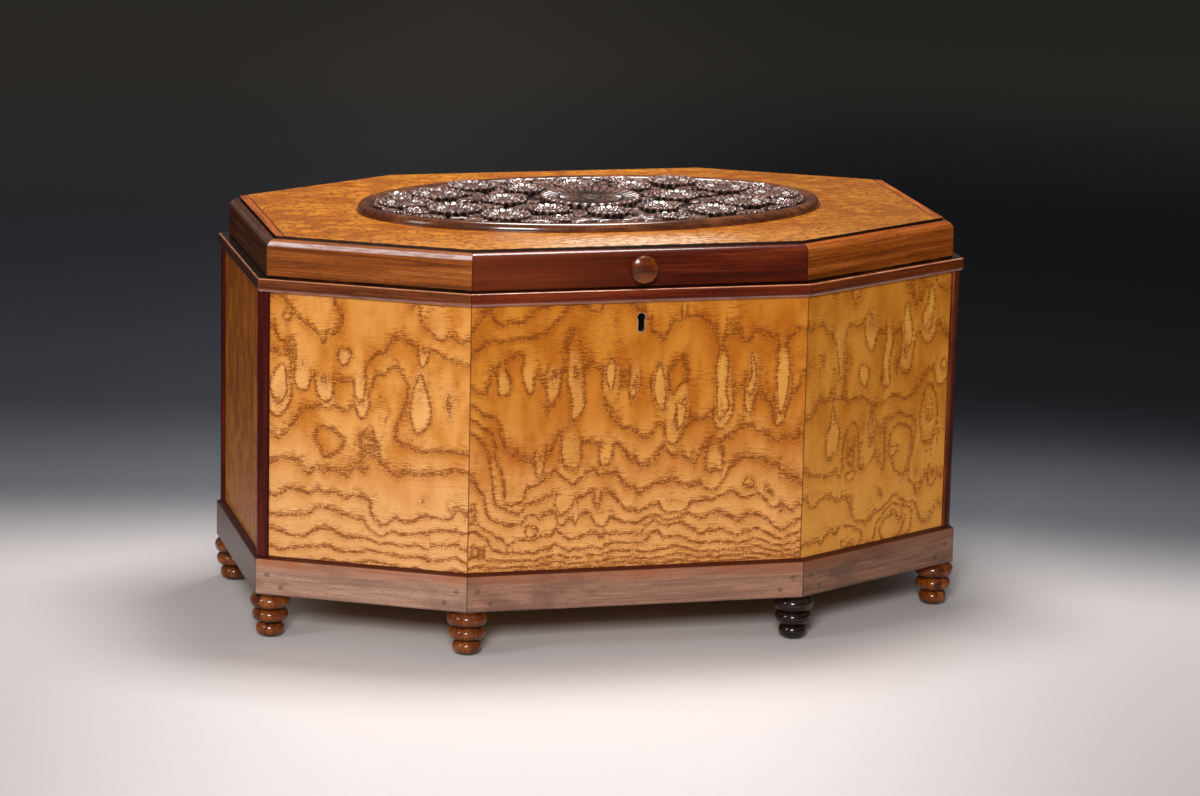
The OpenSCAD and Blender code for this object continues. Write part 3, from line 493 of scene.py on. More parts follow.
def plinth_material(face):
    """Sun-faded rosewood, browner under its arris and red on its bevel, with two plugs near each mitre."""
    k = FACES.index(face)
    seed = 110 + 9 * k
    dark, mid, light, glow = PLINTHS.get(face, PLINTHS["front"])
    sh = Shader("plinth_" + face, Roughness=0.4, Specular_IOR_Level=0.3, Coat_Weight=0.15,
                Coat_Roughness=0.2)
    p = sh.face_space(k)
    z = sh.split(p)[2]
    streaks = sh.noise(p, (120, 12, 6), seed, detail=4, distortion=0.6)
    fine = sh.noise(p, (30, 2, 0.7), seed + 1, detail=3)
    clouds = sh.noise(p, (36, 36, 22), seed + 2, detail=3)
    specks = sh.noise(p, (2.4, 2.4, 1.0), seed + 3, detail=1)
    tint = sh.mix(sh.step(streaks, 0.36, 0.6), srgb(*mid), srgb(*light))
    tint = sh.stain(tint, dark, clouds, 0.5, 0.68, 0.6)
    tint = sh.stain(tint, dark, fine, 0.42, 0.62, 0.5)
    tint = sh.stain(tint, [v * 0.55 for v in dark], specks, 0.62, 0.72, 0.35)
    plugs_z, plugs_aside = (PLINTH_Z + PANEL_Z) / 2 - 3, 12
    for rise in (-5.5, 4.0):
        aside = sh.math("SUBTRACT", sh.from_joint(k), plugs_aside - rise)
        off = sh.math("SUBTRACT", z, plugs_z + rise)
        away = sh.math("SQRT", sh.times_plus(aside, aside, sh.times(off, off)))
        tint = sh.stain(tint, [v * 0.6 for v in dark], away, 1.6, 2.3, 0.0, 0.5)
    arris = PANEL_Z - 2.2
    glowing = sh.times(sh.step(z, arris - 11, arris - 1.0), sh.step(clouds, 0.3, 0.6, 0.95, 0.45))
    tint = sh.mix(glowing, tint, srgb(*glow))
    tint = sh.stain(tint, (70, 22, 12), z, arris - 0.1, arris + 0.5)
    tint = sh.stain(tint, (40, 22, 16), z, PLINTH_Z + 1.5, PLINTH_Z, 0.6)
    sh.colour(sh.stain(tint, (24, 10, 7), sh.from_joint(k), 0.1, 0.6, 0.0, 0.85))
    sh.bump((fine, 0.03), (clouds, 0.2))
    return sh.material


def wood_material(name, seed, dark, light, grain, **shine):
    """Plain wood with its grain along the longest size."""
    sh = Shader(name, **{"Roughness": 0.6, **shine})
    p = sh.face_space(0)
    streaks = sh.noise(p, grain, seed, detail=4, distortion=0.8)
    fine = sh.noise(p, [s * 0.15 if s < max(grain) else s * 0.5 for s in grain], seed + 1, detail=3)
    tint = sh.mix(sh.step(streaks, 0.35, 0.62), srgb(*dark), srgb(*light))
    sh.colour(sh.stain(tint, dark, fine, 0.4, 0.65, 0.4))
    sh.bump((fine, 0.05))
    return sh.material


def metal_material(name, seed, base, dull, roughness, keyhole_darkening=0.0):
    """Worn metal with brushed lines and tarnish, darkened near the keyhole."""
    sh = Shader(name, Metallic=1.0)
    p = sh.face_space(0)
    tarnish = sh.noise(p, (6, 6, 6), seed, detail=4)
    brushed = sh.noise(p, (8, 0.4, 0.4), seed + 1, detail=2)
    tint = sh.mix(sh.step(tarnish, 0.4, 0.65), srgb(*base), srgb(*dull))
    middle = (low("keyhole_lining") + high("keyhole_lining")) / 2
    near = sh.vector("DISTANCE", p, middle)
    sh.colour(sh.stain(tint, (6, 4, 3), near, 24, 34, 0.0, keyhole_darkening))
    sh.link(sh.line(tarnish, 0.3, 0.7, roughness, roughness + 0.25), "Roughness")
    sh.bump((brushed, 0.02))
    return sh.material


def paint(material, *nodes):
    """Gives CAD nodes a material."""
    for node in nodes:
        for slot in NODES[node].material_slots:
            slot.material = material


# Dark, middle and light tones of the lid's frame, of the rim and of the corner beads. Other places look like
# front_right of the frame, the front of the rim and left_front of the beads.
# The darker left_end tones of the frame and the rim are partly the wood's own and partly painted shade, as
# that end faces away from the light.
LID_FRAMES = {
    "front": ((62, 14, 4), (96, 30, 8), (120, 48, 16)),
    "front_left": ((104, 48, 8), (154, 80, 22), (184, 110, 48)),
    "front_right": ((112, 52, 10), (164, 82, 22), (190, 108, 44)),
    "left_end": ((58, 24, 8), (88, 44, 16), (108, 60, 30)),
}
RIMS = {
    "front": ((72, 18, 4), (112, 40, 12), (142, 62, 26)),
    "front_left": ((72, 30, 10), (116, 58, 26), (144, 82, 44)),
    "front_right": ((76, 28, 6), (122, 56, 16), (150, 80, 34)),
    "left_end": ((46, 20, 8), (76, 38, 18), (98, 56, 30)),
}
BEADS = {
    "left_front": ((44, 8, 6), (76, 13, 10), (112, 40, 24)),
    "right_front": ((48, 16, 8), (96, 38, 16), (140, 76, 40)),
}
TURNED = ((66, 26, 6), (138, 66, 20), (178, 100, 38))
KNOB = ((66, 22, 6), (128, 58, 16), (156, 82, 26))
DARK_FOOT = ((20, 9, 6), (38, 18, 11), (58, 30, 18))
# Level lines, with height, half width, strength and tint: the painted shadow at the foot of the lid's frame,
# the painted highlight along its rounding, and the painted highlight and reflection on the rim's roundings
FRAME_FOOT_SHADOW = (LID_Z, 1.8, 1.0, (10, 4, 3))
FRAME_HIGHLIGHTS = {
    "front_left": ((FRAME_TOP_Z - 3.2, 1.9, 0.8, (216, 190, 186)),),
    "left_end": ((FRAME_TOP_Z - 3.0, 2.0, 0.3, (150, 120, 110)),),
}
RIM_HIGHLIGHTS = ((high("rim_front").z, 0.9, 0.8, (220, 146, 104)), (RIM_Z + 1.6, 1.4, 0.6, (178, 128, 116)))


def paint_faces():
    """Veneer, plinth, lid frame and rim of each face."""
    for k, face in enumerate(FACES):
        paint(veneer_material(face), "veneer_" + face)
        paint(plinth_material(face), "plinth_" + face)
        frame_tones = LID_FRAMES.get(face, LID_FRAMES["front_right"])
        rim_tones = RIMS.get(face, RIMS["front"])
        paint(rosewood_material("lid_frame_" + face, k, 200 + 7 * k, *frame_tones,
                                lines=(FRAME_FOOT_SHADOW, *FRAME_HIGHLIGHTS.get(face, ())),
                                Coat_IOR=2.4 if face == "front_left" else 1.3,
                                left_end_tone=(112, 50, 20) if face == "front" else None), "lid_frame_" + face)
        paint(rosewood_material("rim_" + face, k, 270 + 7 * k, *rim_tones, lines=RIM_HIGHLIGHTS), "rim_" + face)


def paint_beads():
    """Corner beads, with upright grain and a thin polish."""
    for index, name in enumerate(BEAD_CORNERS):
        bead = "corner_bead_" + name
        paint(rosewood_material(bead, 0, 340 + 5 * index, *BEADS.get(name, BEADS["left_front"]),
                                along=(6, 6, 160), joint=None, Roughness=0.28, Specular_IOR_Level=0.08,
                                Coat_Weight=0.08, Coat_Roughness=0.08), bead)


def paint_turned():
    """Feet and knob, with the grain along their axes. One foot that shows is darker than the others."""
    # Painted shade darkens the feet's undersides.
    foot = {"along": (8, 8, 40), "under": 0.9, "joint": None, "Coat_Weight": 0.7, "Coat_Roughness": 0.07}
    feet = [node for node in NODES if node.startswith("foot_")]
    paint(rosewood_material("turned_wood", 0, 380, *TURNED, **foot), *feet)
    paint(rosewood_material("dark_foot_wood", 0, 386, *DARK_FOOT, **foot), "foot_front_right")
    paint(rosewood_material("knob_wood", 0, 390, *KNOB, along=(40, 12, 9), joint=None, Coat_Weight=0.4,
                            Coat_Roughness=0.07), "knob")


def paint_boards():
    """Lid veneer and the boards inside."""
    paint(lid_veneer_material(), "lid_veneer")
    paint(wood_material("pine_boards", 401, (150, 108, 62), (188, 146, 92), (200, 200, 8)), "carcass_boards")
    paint(wood_material("pine_bottom", 411, (150, 108, 62), (184, 142, 90), (260, 18, 18)), "base_board")
    # The lid's core is dark stained wood; its dark edge under the veneer also stands in for the shadow
    # there.
    lid_core = wood_material("lid_core", 421, (30, 12, 7), (58, 26, 14), (240, 16, 16), Roughness=0.5)
    paint(lid_core, "lid_board")


def paint_metal():
    """Hinges, lock, screws and the keyhole's lining."""
    paint(metal_material("brass", 431, (196, 152, 84), (120, 84, 44), 0.3), "hinge_leaves_chest",
          "hinge_leaves_lid", "link_plate", "chest_screws", "lid_screws")
    paint(metal_material("lock_brass", 435, (190, 146, 80), (112, 78, 40), 0.35, keyhole_darkening=0.95), "lock_case",
          "lock_cap")
    paint(metal_material("lining", 441, (226, 200, 178), (170, 128, 104), 0.25), "keyhole_lining")
    paint(metal_material("steel", 451, (150, 148, 144), (92, 88, 84), 0.35), "lock_bolt", "hinge_pins")


# Carved oval on the lid, with heights in millimetres over the lid's veneer. Carvings stand on a short skirt
# over the sunk ground and end at a root inside it.
BORDER_W = 12.0
BORDER_H = 6.6
GROUND_H = 3.4
SKIRT_H = GROUND_H + 0.3
ROOT_H = GROUND_H - 0.4
GROUND_A = OVAL_A - BORDER_W
GROUND_B = OVAL_B - BORDER_W
POINTS_PER_PETAL = 12
SHARP_ANGLE = math.radians(40)


def solid(name, points, faces, material):
    """A mesh object of points in metres, in the scene."""
    mesh = bpy.data.meshes.new(name)
    mesh.from_pydata(points, [], faces)
    mesh.materials.append(material)
    obj = bpy.data.objects.new(name, mesh)
    bpy.context.scene.collection.objects.link(obj)
    return obj


def rounded(obj):
    """Shades an object smooth, apart from its sharp edges."""
    obj.data.polygons.foreach_set("use_smooth", [True] * len(obj.data.polygons))
    obj.data.set_sharp_from_angle(angle=SHARP_ANGLE)


class Relief:
    """Closed shells that make one carved piece, with a hollow value at each point from 0, open, to 1, which
    sets its painted shade and its dullness.
    """

    def __init__(self):
        self.points, self.faces, self.hollow = [], [], []

    def shell(self, centre, rings, floor=ROOT_H):
        """A shell from its top centre out through rings of points, down to a floor."""
        x, y, z = centre
        start = len(self.points)
        count = len(rings[0][0])
        self.points.append((x, y, OVAL_Z + z))
        self.hollow.append(rings[0][1][0])
        for points, hollow in rings:
            self.points.extend(points)
            self.hollow.extend(hollow)
        self.points.append((x, y, OVAL_Z + floor))
        self.hollow.append(1.0)
        last = len(self.points) - 1
        for i in range(count):
            j = (i + 1) % count
            self.faces.append((start, start + 1 + i, start + 1 + j))
            for r in range(len(rings) - 1):
                a, b = start + 1 + r * count, start + 1 + (r + 1) * count
                self.faces.append((a + i, b + i, b + j, a + j))
            a = start + 1 + (len(rings) - 1) * count
            self.faces.append((a + j, a + i, last))

    def piece(self, name, material):
        """One object of all shells, with the hollow values for its material."""
        obj = solid(name, [tuple(v * MM for v in p) for p in self.points], self.faces, material)
        layer = obj.data.attributes.new("hollow", "FLOAT", "POINT")
        layer.data.foreach_set("value", np.array(self.hollow, np.float32))
        rounded(obj)
        return obj


def groove(u, wide=0.4):
    """0 over a petal, where u is near 0, and 1 in the groove between two petals, at u = 1."""
    return np.clip((u - 1 + wide) / wide, 0, 1) ** 2


def blend(a, b, t):
    return a + (b - a) * t


def smooth(t):
    t = np.clip(t, 0, 1)
    return t * t * (3 - 2 * t)


def around(count):
    """Angles of a ring's points."""
    return 2 * np.pi * np.arange(count) / count


def ring_at(x, y, z, hollow):
    """A ring of points, with z over the lid's veneer, and how hollow each of them looks."""
    z, hollow = np.broadcast_to(z, x.shape), np.broadcast_to(hollow, x.shape)
    return np.stack([x, y, OVAL_Z + z], 1), np.clip(hollow, 0, 1)


def turned_ring(x, y, px, py, turn, z, hollow):
    """A ring of px and py round a middle at x and y, turned by an angle."""
    cos, sin = math.cos(turn), math.sin(turn)
    return ring_at(x + px * cos - py * sin, y + px * sin + py * cos, z, hollow)


def flower(relief, x, y, radius, petals, height, turn):
    """A dished flower: a domed boss, an inner ring of petals, and an outer ring that rises to its tips."""
    boss, inner = 0.4, 0.68
    t = around(petals * POINTS_PER_PETAL)
    phase = t * petals / (2 * np.pi)
    u = np.abs((phase % 1) - 0.5) * 2
    v = np.abs(((phase + 0.5) % 1) - 0.5) * 2
    reach = radius - min(3.4, 0.2 * radius) * groove(u, 0.55) - 0.5 * u ** 4
    rings = []

    def ring(share, z, hollow, tuck=0.0):
        r = (reach if share > 0.8 else radius - (radius - reach) * smooth(share)) * share - tuck
        rings.append(ring_at(x + r * np.cos(t + turn), y + r * np.sin(t + turn), z, hollow))

    for s in (0.3, 0.6, 0.82, 0.96):
        beads = 0.25 * np.cos(t * 16) * np.sin(9 * s) * (s < 0.9)
        ring(boss * s, height * (0.58 + 0.24 * np.sqrt(1 - s ** 2)) + beads, 0.3 - beads + 0.5 * (s > 0.9))
    for q in np.linspace(0, 1, 6):
        rise = height * (blend(0.62, 0.87, q) - 0.09 * smooth((q - 0.75) / 0.25))
        ring(blend(boss, inner, q), rise - 0.9 * groove(v), blend(0.8, 0.0, q ** 0.5) + 0.9 * groove(v))
    for q in np.linspace(0, 1, 8):
        rise = height * (blend(0.64, 1.0, q ** 0.9) - 0.1 * smooth((q - 0.8) / 0.2))
        across = 0.9 * u ** 2 + 2.0 * groove(u)
        ring(blend(inner + 0.015, 0.985, q), rise - across * blend(0.5, 1, q),
             blend(0.9, 0.0, q ** 0.4) + 0.95 * groove(u))
    side = 0.1 + 0.9 * smooth((u - 0.3) / 0.35)
    ring(1.0, height * 0.8 - 1.6 * groove(u), side)
    ring(1.0, height * 0.7 - 1.6 * groove(u), side + 0.3, tuck=0.25)
    ring(1.0, SKIRT_H, side + 0.6, tuck=1.0)
    ring(1.0, ROOT_H, 1.0, tuck=1.0)
    relief.shell((x, y, height * 0.82), rings)


def rosette(relief, radius, petals, height):
    """The middle of the oval: fine sloping rays round a low boss, and a rim of small petals."""
    count = petals * POINTS_PER_PETAL
    t = around(count)
    u = np.abs((t * petals / (2 * np.pi) % 1) - 0.5) * 2
    rays = 0.3 + 0.3 * np.cos(np.arange(count) * np.pi / 2)
    rings = []

    def ring(r, z, hollow):
        rings.append(ring_at(r * np.cos(t), r * np.sin(t), z, hollow))

    for share, z in ((0.06, 0.2), (0.14, -0.2), (0.2, -0.9), (0.22, -1.5)):
        ring(radius * share, height - 1.2 + z, 0.3 - 0.3 * z)
    for q in np.linspace(0, 1, 6):
        ring(radius * blend(0.235, 0.6, q), height - 2.9 + 0.5 * q - rays, 0.3 + rays)
    ring(radius * 0.615, height - 3.6, 0.95)
    edge = radius - 2.6 * groove(u, 0.5)
    for q in np.linspace(0, 1, 9):
        rise = -3.2 + 3.2 * q ** 0.8 - 1.1 * smooth((q - 0.85) / 0.15)
        across = 0.8 * u ** 2 + 1.8 * groove(u)
        ring(edge * blend(0.63, 0.985, q), height + rise - across * blend(0.5, 1, q),
             blend(0.8, 0.0, q ** 0.4) + 0.9 * groove(u))
    side = 0.1 + 0.9 * smooth((u - 0.3) / 0.35)
    ring(edge, height - 2.2, side)
    ring(edge - 0.3, height - 4.5, side + 0.2)
    ring(edge - 1.2, SKIRT_H, side + 0.6)
    ring(edge - 1.2, ROOT_H, 1.0)
    relief.shell((0, 0, height - 1.1), rings)


def leaf(relief, x, y, length, width, height, turn, lobes=5):
    """A leaf with lobed sides, a middle groove and fine veins out to the notches between its lobes."""
    t = around(96)
    along = np.cos(t)
    notch = groove(np.abs(((along + 1) / 2 * lobes % 1) - 0.5) * 2, 0.5) * (np.abs(along) < 0.93)
    side = np.sin(t) * (1 - along ** 2) ** 0.2 * (1 - 0.3 * notch)
    rings = []

    def ring(share, z, hollow):
        px, py = length / 2 * along * share, width / 2 * side * share
        rings.append(turned_ring(x, y, px, py, turn, z, hollow))

    for s in (0.1, 0.3, 0.5, 0.7, 0.84, 0.94):
        rib = np.exp(-(side * s / 0.16) ** 2)
        vein = notch * smooth((s - 0.2) / 0.5)
        ring(s, height * (0.97 + 0.06 * s - 0.1 * s ** 6) - 0.6 * rib - 0.7 * vein, 0.5 * rib + 0.7 * vein)
    ring(0.985, height * 0.88 - 0.7 * notch, 0.2 + 0.6 * notch)
    ring(1.0, height * 0.8 - 0.7 * notch, 0.5 + 0.4 * notch)
    ring(0.96, SKIRT_H, 0.9)
    ring(0.96, ROOT_H, 1.0)
    relief.shell((x, y, height - 0.6), rings)


def lozenge(relief, place, side):
    """A smooth long bead along the inside of the border, at a place along x, on the front or the back."""
    length, width, height, inset, root = 16.5, 5.0, 7.4, 3.4, 0.5
    a, b = GROUND_A - inset, GROUND_B - inset
    angle = side * math.acos(place / a)
    x, y = a * math.cos(angle), b * math.sin(angle)
    turn = math.atan2(b * math.cos(angle), -a * math.sin(angle))
    t = around(32)
    rings = []
    for s, z in ((0.35, 0.98), (0.65, 0.88), (0.85, 0.7), (0.96, 0.45), (1.0, 0.15), (1.0, -0.1)):
        px, py = length / 2 * np.cos(t) * s, width / 2 * np.sin(t) * s
        hollow = 0.0 if z > 0.4 else 0.85
        rings.append(turned_ring(x, y, px, py, turn, GROUND_H + (height - GROUND_H) * z, hollow))
    relief.shell((x, y, height), rings, GROUND_H - root)


def quarters(x, y):
    """The places that a place in one quarter of the oval is mirrored to."""
    return [(sx * x, sy * y) for sx in ((1, -1) if x else (1,)) for sy in ((1, -1) if y else (1,))]


# The rosette's radius as a share of the ground's half depth, its petals and its height in mm
ROSETTE = (0.44, 34, 10.6)
# Flowers as in the part: place in shares of the ground's half width and half depth, radius as a share of the
# half depth, petals, and height in mm
FLOWERS = (
    (0.0, 0.62, 0.18, 17, 9.8), (0.252, 0.47, 0.18, 17, 9.8), (0.4, 0.0, 0.2, 18, 9.8),
    (0.473, 0.665, 0.215, 20, 9.8), (0.665, 0.33, 0.235, 21, 9.8), (0.855, 0.0, 0.235, 21, 9.4),
    (0.84, 0.36, 0.12, 11, 8.4), (0.24, 0.83, 0.115, 11, 8.2),
)
# Small leaves fanned round each flower: how many, distance from it, length, and clearance to the border
FAN = 8
FAN_OUT = 4.5
FAN_LENGTH = 20
FAN_CLEAR = 2.5
# Small leaves along the border: how many, and how far inside it
EDGE_LEAVES = 52
EDGE_INSET = 4.6
# Large leaves: place in the same shares, length, width and height in mm, and turn in degrees
LEAVES = (
    (0.125, 0.6, 24, 12, 6.6, 68), (0.33, 0.26, 26, 13, 6.8, 24), (0.52, 0.16, 34, 15, 6.6, -22),
    (0.36, 0.72, 22, 11, 6.4, 12), (0.6, 0.56, 24, 12, 6.4, -64), (0.745, 0.1, 18, 11, 6.4, 62),
    (0.37, 0.84, 24, 9, 6.0, -16), (0.63, 0.69, 26, 9, 6.0, -32), (0.79, 0.52, 24, 9, 6.0, -46),
    (0.115, 0.86, 18, 8, 6.0, -3), (0.5, 0.4, 22, 12, 6.4, 40), (0.93, 0.22, 18, 8, 6.0, -66),
)
# Places of the smooth beads along x, in mm
LOZENGES = (-28, -9.3, 9.3, 28)


def carved_material(name, base, wear_and_painted_light, hollow_shade, seed):
    """Carved rosewood: worn and polished where it stands out, dull where it is hollow, and darkened there
    with painted shade.
    """
    sh = Shader(name, Specular_IOR_Level=0.25, Coat_Roughness=0.1, Coat_IOR=1.7)
    p = sh.face_space(0)
    hollow = sh.node("Attribute", output="Fac", attribute_name="hollow")
    grain = sh.noise(p, (30, 2.5, 3), seed, detail=4)
    marks = sh.noise(p, (1.5, 3.2, 3.0), seed + 1, detail=2)
    cuts = sh.noise(p, (2.0, 4.5, 2.0), seed + 2, detail=2)
    tint = sh.mix(sh.step(grain, 0.35, 0.65), srgb(*base), srgb(*wear_and_painted_light))
    tint = sh.stain(tint, [v * 0.4 for v in base], cuts, 0.5, 0.58, 0.75)
    tint = sh.stain(tint, [v * 1.5 for v in wear_and_painted_light], cuts, 0.42, 0.32, 0.6)
    # Painted shade: hollows, undercuts and the sunk ground are darkened towards the hollow_shade tone.
    sh.colour(sh.stain(tint, hollow_shade, hollow, 0.1, 0.75, 0.96))
    sh.link(sh.step(hollow, 0.2, 0.9, 0.28, 0.7), "Roughness")
    sh.link(sh.step(hollow, 0.15, 0.8, 1.0, 0.0), "Coat Weight")
    sh.bump((marks, 0.5), (grain, 0.04))
    return sh.material


def carve_fans(relief):
    """Small leaves fanned round each flower, wherever their tips stay clear of the border."""
    reach_a, reach_b = GROUND_A - FAN_CLEAR, GROUND_B - FAN_CLEAR
    for n, (x, y, r, _, _) in enumerate(FLOWERS):
        for sx, sy in quarters(1 if x else 0, 1 if y else 0):
            for i in range(FAN):
                way = 2 * math.pi * (i + 0.37 * n) / FAN
                way = math.atan2(math.sin(way) * (sy or 1), math.cos(way) * (sx or 1))
                out = r * GROUND_B + FAN_OUT
                px = sx * x * GROUND_A + out * math.cos(way)
                py = sy * y * GROUND_B + out * math.sin(way)
                tip_x = px + FAN_LENGTH / 2 * math.cos(way)
                tip_y = py + FAN_LENGTH / 2 * math.sin(way)
                if (tip_x / reach_a) ** 2 + (tip_y / reach_b) ** 2 < 1:
                    leaf(relief, px, py, FAN_LENGTH, 9.5 + i % 2, 4.5 + 0.2 * ((3 * i + n) % 5), way)


def carve_edge(relief):
    """Small leaves and smooth beads along the inside of the border."""
    for i in range(EDGE_LEAVES):
        way = 2 * math.pi * (i + 0.5) / EDGE_LEAVES
        px, py = (GROUND_A - EDGE_INSET) * math.cos(way), (GROUND_B - EDGE_INSET) * math.sin(way)
        run = math.atan2(GROUND_B * math.cos(way), -GROUND_A * math.sin(way))
        leaf(relief, px, py, 14, 7, 6.0 + 0.3 * (i % 3), run + 0.35 * (-1) ** i, lobes=3)
    for place in LOZENGES:
        for side in (-1, 1):
            lozenge(relief, place, side)


def carved_flowers():
    """All that is carved over the sunk ground, as one piece."""
    relief = Relief()
    rosette(relief, ROSETTE[0] * GROUND_B, *ROSETTE[1:])
    for n, (x, y, r, petals, height) in enumerate(FLOWERS):
        for i, (qx, qy) in enumerate(quarters(x * GROUND_A, y * GROUND_B)):
            flower(relief, qx, qy, r * GROUND_B, petals, height, turn=0.35 * i + 0.2 * n)
    for x, y, length, width, height, turn in LEAVES:
        for qx, qy in quarters(x * GROUND_A, y * GROUND_B):
            leaf(relief, qx, qy, length, width, height, math.radians(turn if qx * qy >= 0 else -turn))
    carve_fans(relief)
    carve_edge(relief)
    material = carved_material("carved_wood", (90, 60, 50), (126, 90, 78), (8, 3, 2), 501)
    return relief.piece("carved_flowers", material)


def carved_ground():
    """The sunk ground, which reaches a little under the border and stands clear of the veneer."""
    # The whole ground counts as hollow, so it takes the painted shade.
    under, clear, hollow = 2, 0.05, 0.95
    t = around(180)
    x, y = (GROUND_A + under) * np.cos(t), (GROUND_B + under) * np.sin(t)
    rings = [ring_at(s * x, s * y, GROUND_H, hollow) for s in np.linspace(0.1, 1, 10)]
    rings.append(ring_at(x, y, clear, hollow))
    relief = Relief()
    relief.shell((0, 0, GROUND_H), rings, clear)
    material = carved_material("carved_ground_wood", (70, 46, 40), (90, 62, 54), (20, 11, 9), 511)
    return relief.piece("carved_ground", material)


def border_ring():
    """The oval's border: a half round with a small fillet on each side."""
    fillet_w, fillet_h, clear = 0.7, 0.9, 0.02
    arc_steps, count = 12, 240
    half = BORDER_W / 2
    section = [(0.0, clear), (0.0, fillet_h)]
    for i in range(arc_steps + 1):
        a = math.pi * i / arc_steps
        section.append((half - (half - fillet_w) * math.cos(a),
                        fillet_h + (BORDER_H - fillet_h) * math.sin(a)))
    section += [(BORDER_W, fillet_h), (BORDER_W, clear)]
    n = len(section)
    points, faces = [], []
    for i in range(count):
        a = 2 * math.pi * i / count
        for inset, z in section:
            points.append(((OVAL_A - inset) * math.cos(a) * MM, (OVAL_B - inset) * math.sin(a) * MM,
                           (OVAL_Z + z) * MM))
        for j in range(n):
            m = (j + 1) % n
            b = ((i + 1) % count) * n
            faces.append((i * n + j, i * n + m, b + m, b + j))
    material = rosewood_material("carved_border_wood", 0, 521, (62, 30, 16), (100, 54, 28), (128, 76, 44),
                                 along=(40, 20, 20), joint=None, Roughness=0.26, Coat_Weight=0.8)
    ring = solid("carved_border", points, faces, material)
    rounded(ring)
    return ring


def carved_oval():
    """The carved oval in three pieces, in place of the plain one."""
    flowers = carved_flowers()
    sunk = carved_ground()
    border = border_ring()
    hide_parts("carved_oval")
    for piece in (flowers, sunk, border):
        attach(piece, "lid")


# Stage, lamps and camera, in metres and watts
FLOOR_HALF = 9.0
# Directions on the floor, away from the camera and to its right
AHEAD = (0.249, 0.969, 0)
RIGHT = (0.969, -0.249, 0)
# Tone of the floor near the camera, and the tones that it takes between depths from the middle of the chest:
# a painted pool of light before the chest, fading to painted shade behind it
FLOOR_NEAR = (222, 215, 213)
FLOOR_TINTS = (
    (-0.45, 0.0, (214, 207, 205)), (0.0, 0.32, (104, 105, 110)), (0.26, 0.66, (62, 63, 69)),
    (0.66, 1.3, (58, 59, 65)), (1.3, 2.8, (88, 83, 76)),
)
# Strength of the light from all sides, from the horizon up
WORLD_RAMP = {"From Min": 0.0, "From Max": 0.8, "To Min": 0.03, "To Max": 0.2}


def floor_material():
    """Painted light and shade: pale before the chest and dark behind it, and darker at the right and the
    sides.
    """
    sh = Shader("floor", Roughness=0.7, Specular_IOR_Level=0.04)
    depth, right = (sh.vector("DOT_PRODUCT", sh.place, way) for way in (AHEAD, RIGHT))
    depth = sh.times_plus(right, sh.times_plus(right, 0.15, 0.05), depth)
    tint = srgb(*FLOOR_NEAR)
    for start, end, tone in FLOOR_TINTS:
        tint = sh.stain(tint, tone, depth, start, end)
    shade = sh.times(sh.step(right, -0.3, 0.4, 0.0, 0.8), sh.step(depth, 0.35, 0.8))
    shade = sh.times(shade, sh.step(depth, 1.6, 2.8, 1.0, 0.5))
    sides = sh.step(sh.math("ABSOLUTE", sh.math("SUBTRACT", right, -0.03)), 0.1, 0.5, 0.0, 1.0)
    shade = sh.math("MAXIMUM", shade, sh.times(sides, sh.step(depth, -0.5, 0.1, 0.36, 0.2)))
    sh.colour(sh.mix(shade, tint, srgb(0, 0, 0)))
    return sh.material


def stage():
    """The floor, and dim light from all sides."""
    corners = [(x * FLOOR_HALF, y * FLOOR_HALF, 0) for x, y in ((-1, -1), (1, -1), (1, 1), (-1, 1))]
    floor = solid("floor", corners, [(0, 1, 2, 3)], floor_material())
    world = bpy.data.worlds.new("studio")
    bpy.context.scene.world = world
    world.use_nodes = True
    tree = world.node_tree
    direction = tree.nodes.new("ShaderNodeTexCoord")
    split = tree.nodes.new("ShaderNodeSeparateXYZ")
    ramp = tree.nodes.new("ShaderNodeMapRange")
    for socket, value in WORLD_RAMP.items():
        ramp.inputs[socket].default_value = value
    tree.links.new(direction.outputs["Generated"], split.inputs[0])
    tree.links.new(split.outputs[2], ramp.inputs["Value"])
    tree.links.new(ramp.outputs[0], tree.nodes["Background"].inputs["Color"])


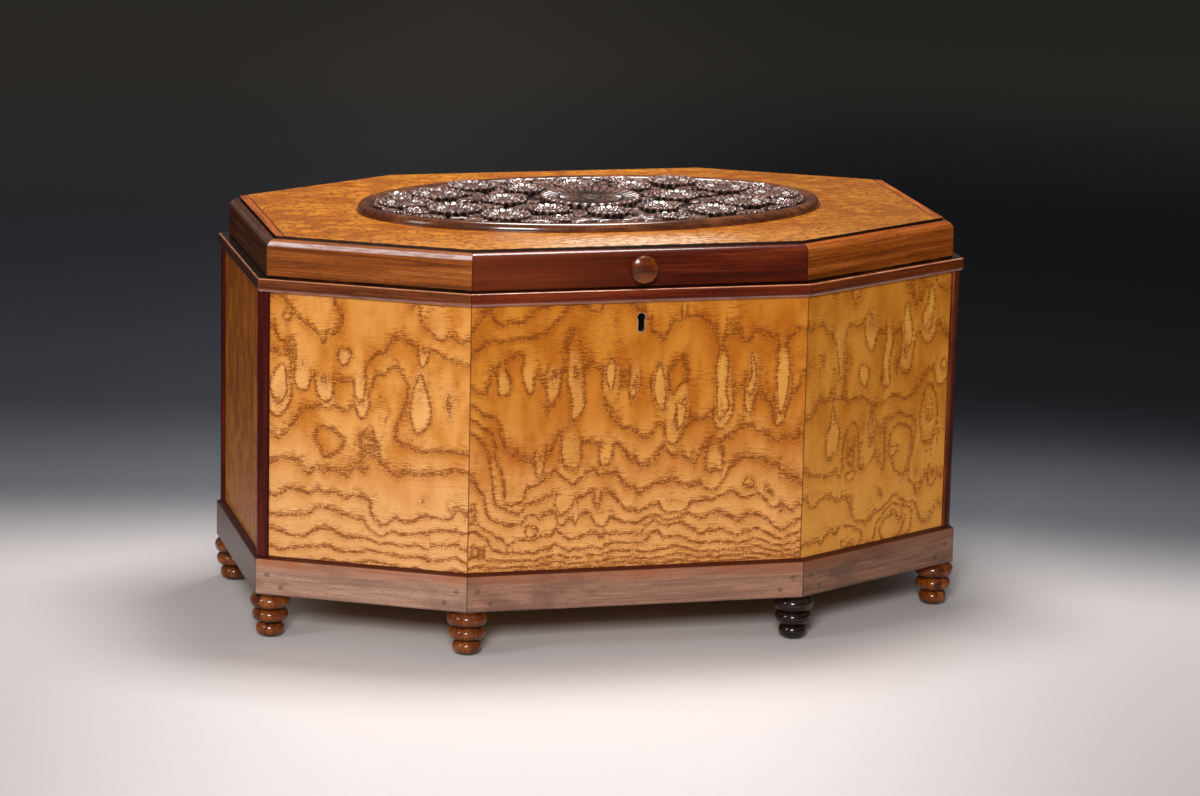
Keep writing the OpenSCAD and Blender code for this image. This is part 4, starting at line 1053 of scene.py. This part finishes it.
# Name, place, the point that it faces, size and power of each lamp
LAMPS = (
    ("front", (-1.17, -3.6, 1.95), (0, 0, 0.15), (0.9, 0.9), 120),
    ("left", (-2.36, -1.0, 1.45), (0, 0, 0.3), (0.6, 1.1), 15),
    ("top", (0.08, 0.13, 1.22), (0.06, 0.1, 0.1), (0.45, 0.36), 14.5),
)
# The photograph's camera, fitted to the octagon's corners: place, yaw, pitch and roll in degrees, and lens
# and sensor width in millimetres
CAMERA_PLACE = (-0.8523, -3.3611, 0.9796)
CAMERA_TURN = (14.41, 13.33, 1.303)
CAMERA_LENS = 135.14
CAMERA_SENSOR = 36.0


def lamp(name, place, aim, size, power):
    """A soft rectangular lamp."""
    data = bpy.data.lights.new(name, "AREA")
    data.shape = "RECTANGLE"
    data.size, data.size_y = size
    data.energy = power
    obj = bpy.data.objects.new(name, data)
    obj.location = place
    obj.rotation_euler = (Vector(aim) - Vector(place)).to_track_quat("-Z", "Y").to_euler()
    bpy.context.scene.collection.objects.link(obj)


def camera():
    yaw, pitch, roll = (math.radians(v) for v in CAMERA_TURN)
    ahead = Vector((math.sin(yaw) * math.cos(pitch), math.cos(yaw) * math.cos(pitch), -math.sin(pitch)))
    right = Vector((math.cos(yaw), -math.sin(yaw), 0))
    upwards = right.cross(ahead)
    x_axis = right * math.cos(roll) + upwards * math.sin(roll)
    y_axis = upwards * math.cos(roll) - right * math.sin(roll)
    data = bpy.data.cameras.new("camera")
    data.sensor_width = CAMERA_SENSOR
    data.lens = CAMERA_LENS
    data.clip_end = 50
    obj = bpy.data.objects.new("camera", data)
    turn = Matrix((x_axis, y_axis, -ahead)).transposed().to_4x4()
    obj.matrix_world = Matrix.Translation(CAMERA_PLACE) @ turn
    bpy.context.scene.collection.objects.link(obj)
    bpy.context.scene.camera = obj


paint_faces()
paint_beads()
paint_turned()
paint_boards()
paint_metal()
carved_oval()
stage()
for lamp_values in LAMPS:
    lamp(*lamp_values)
camera()
bpy.context.scene.view_settings.view_transform = "Standard"
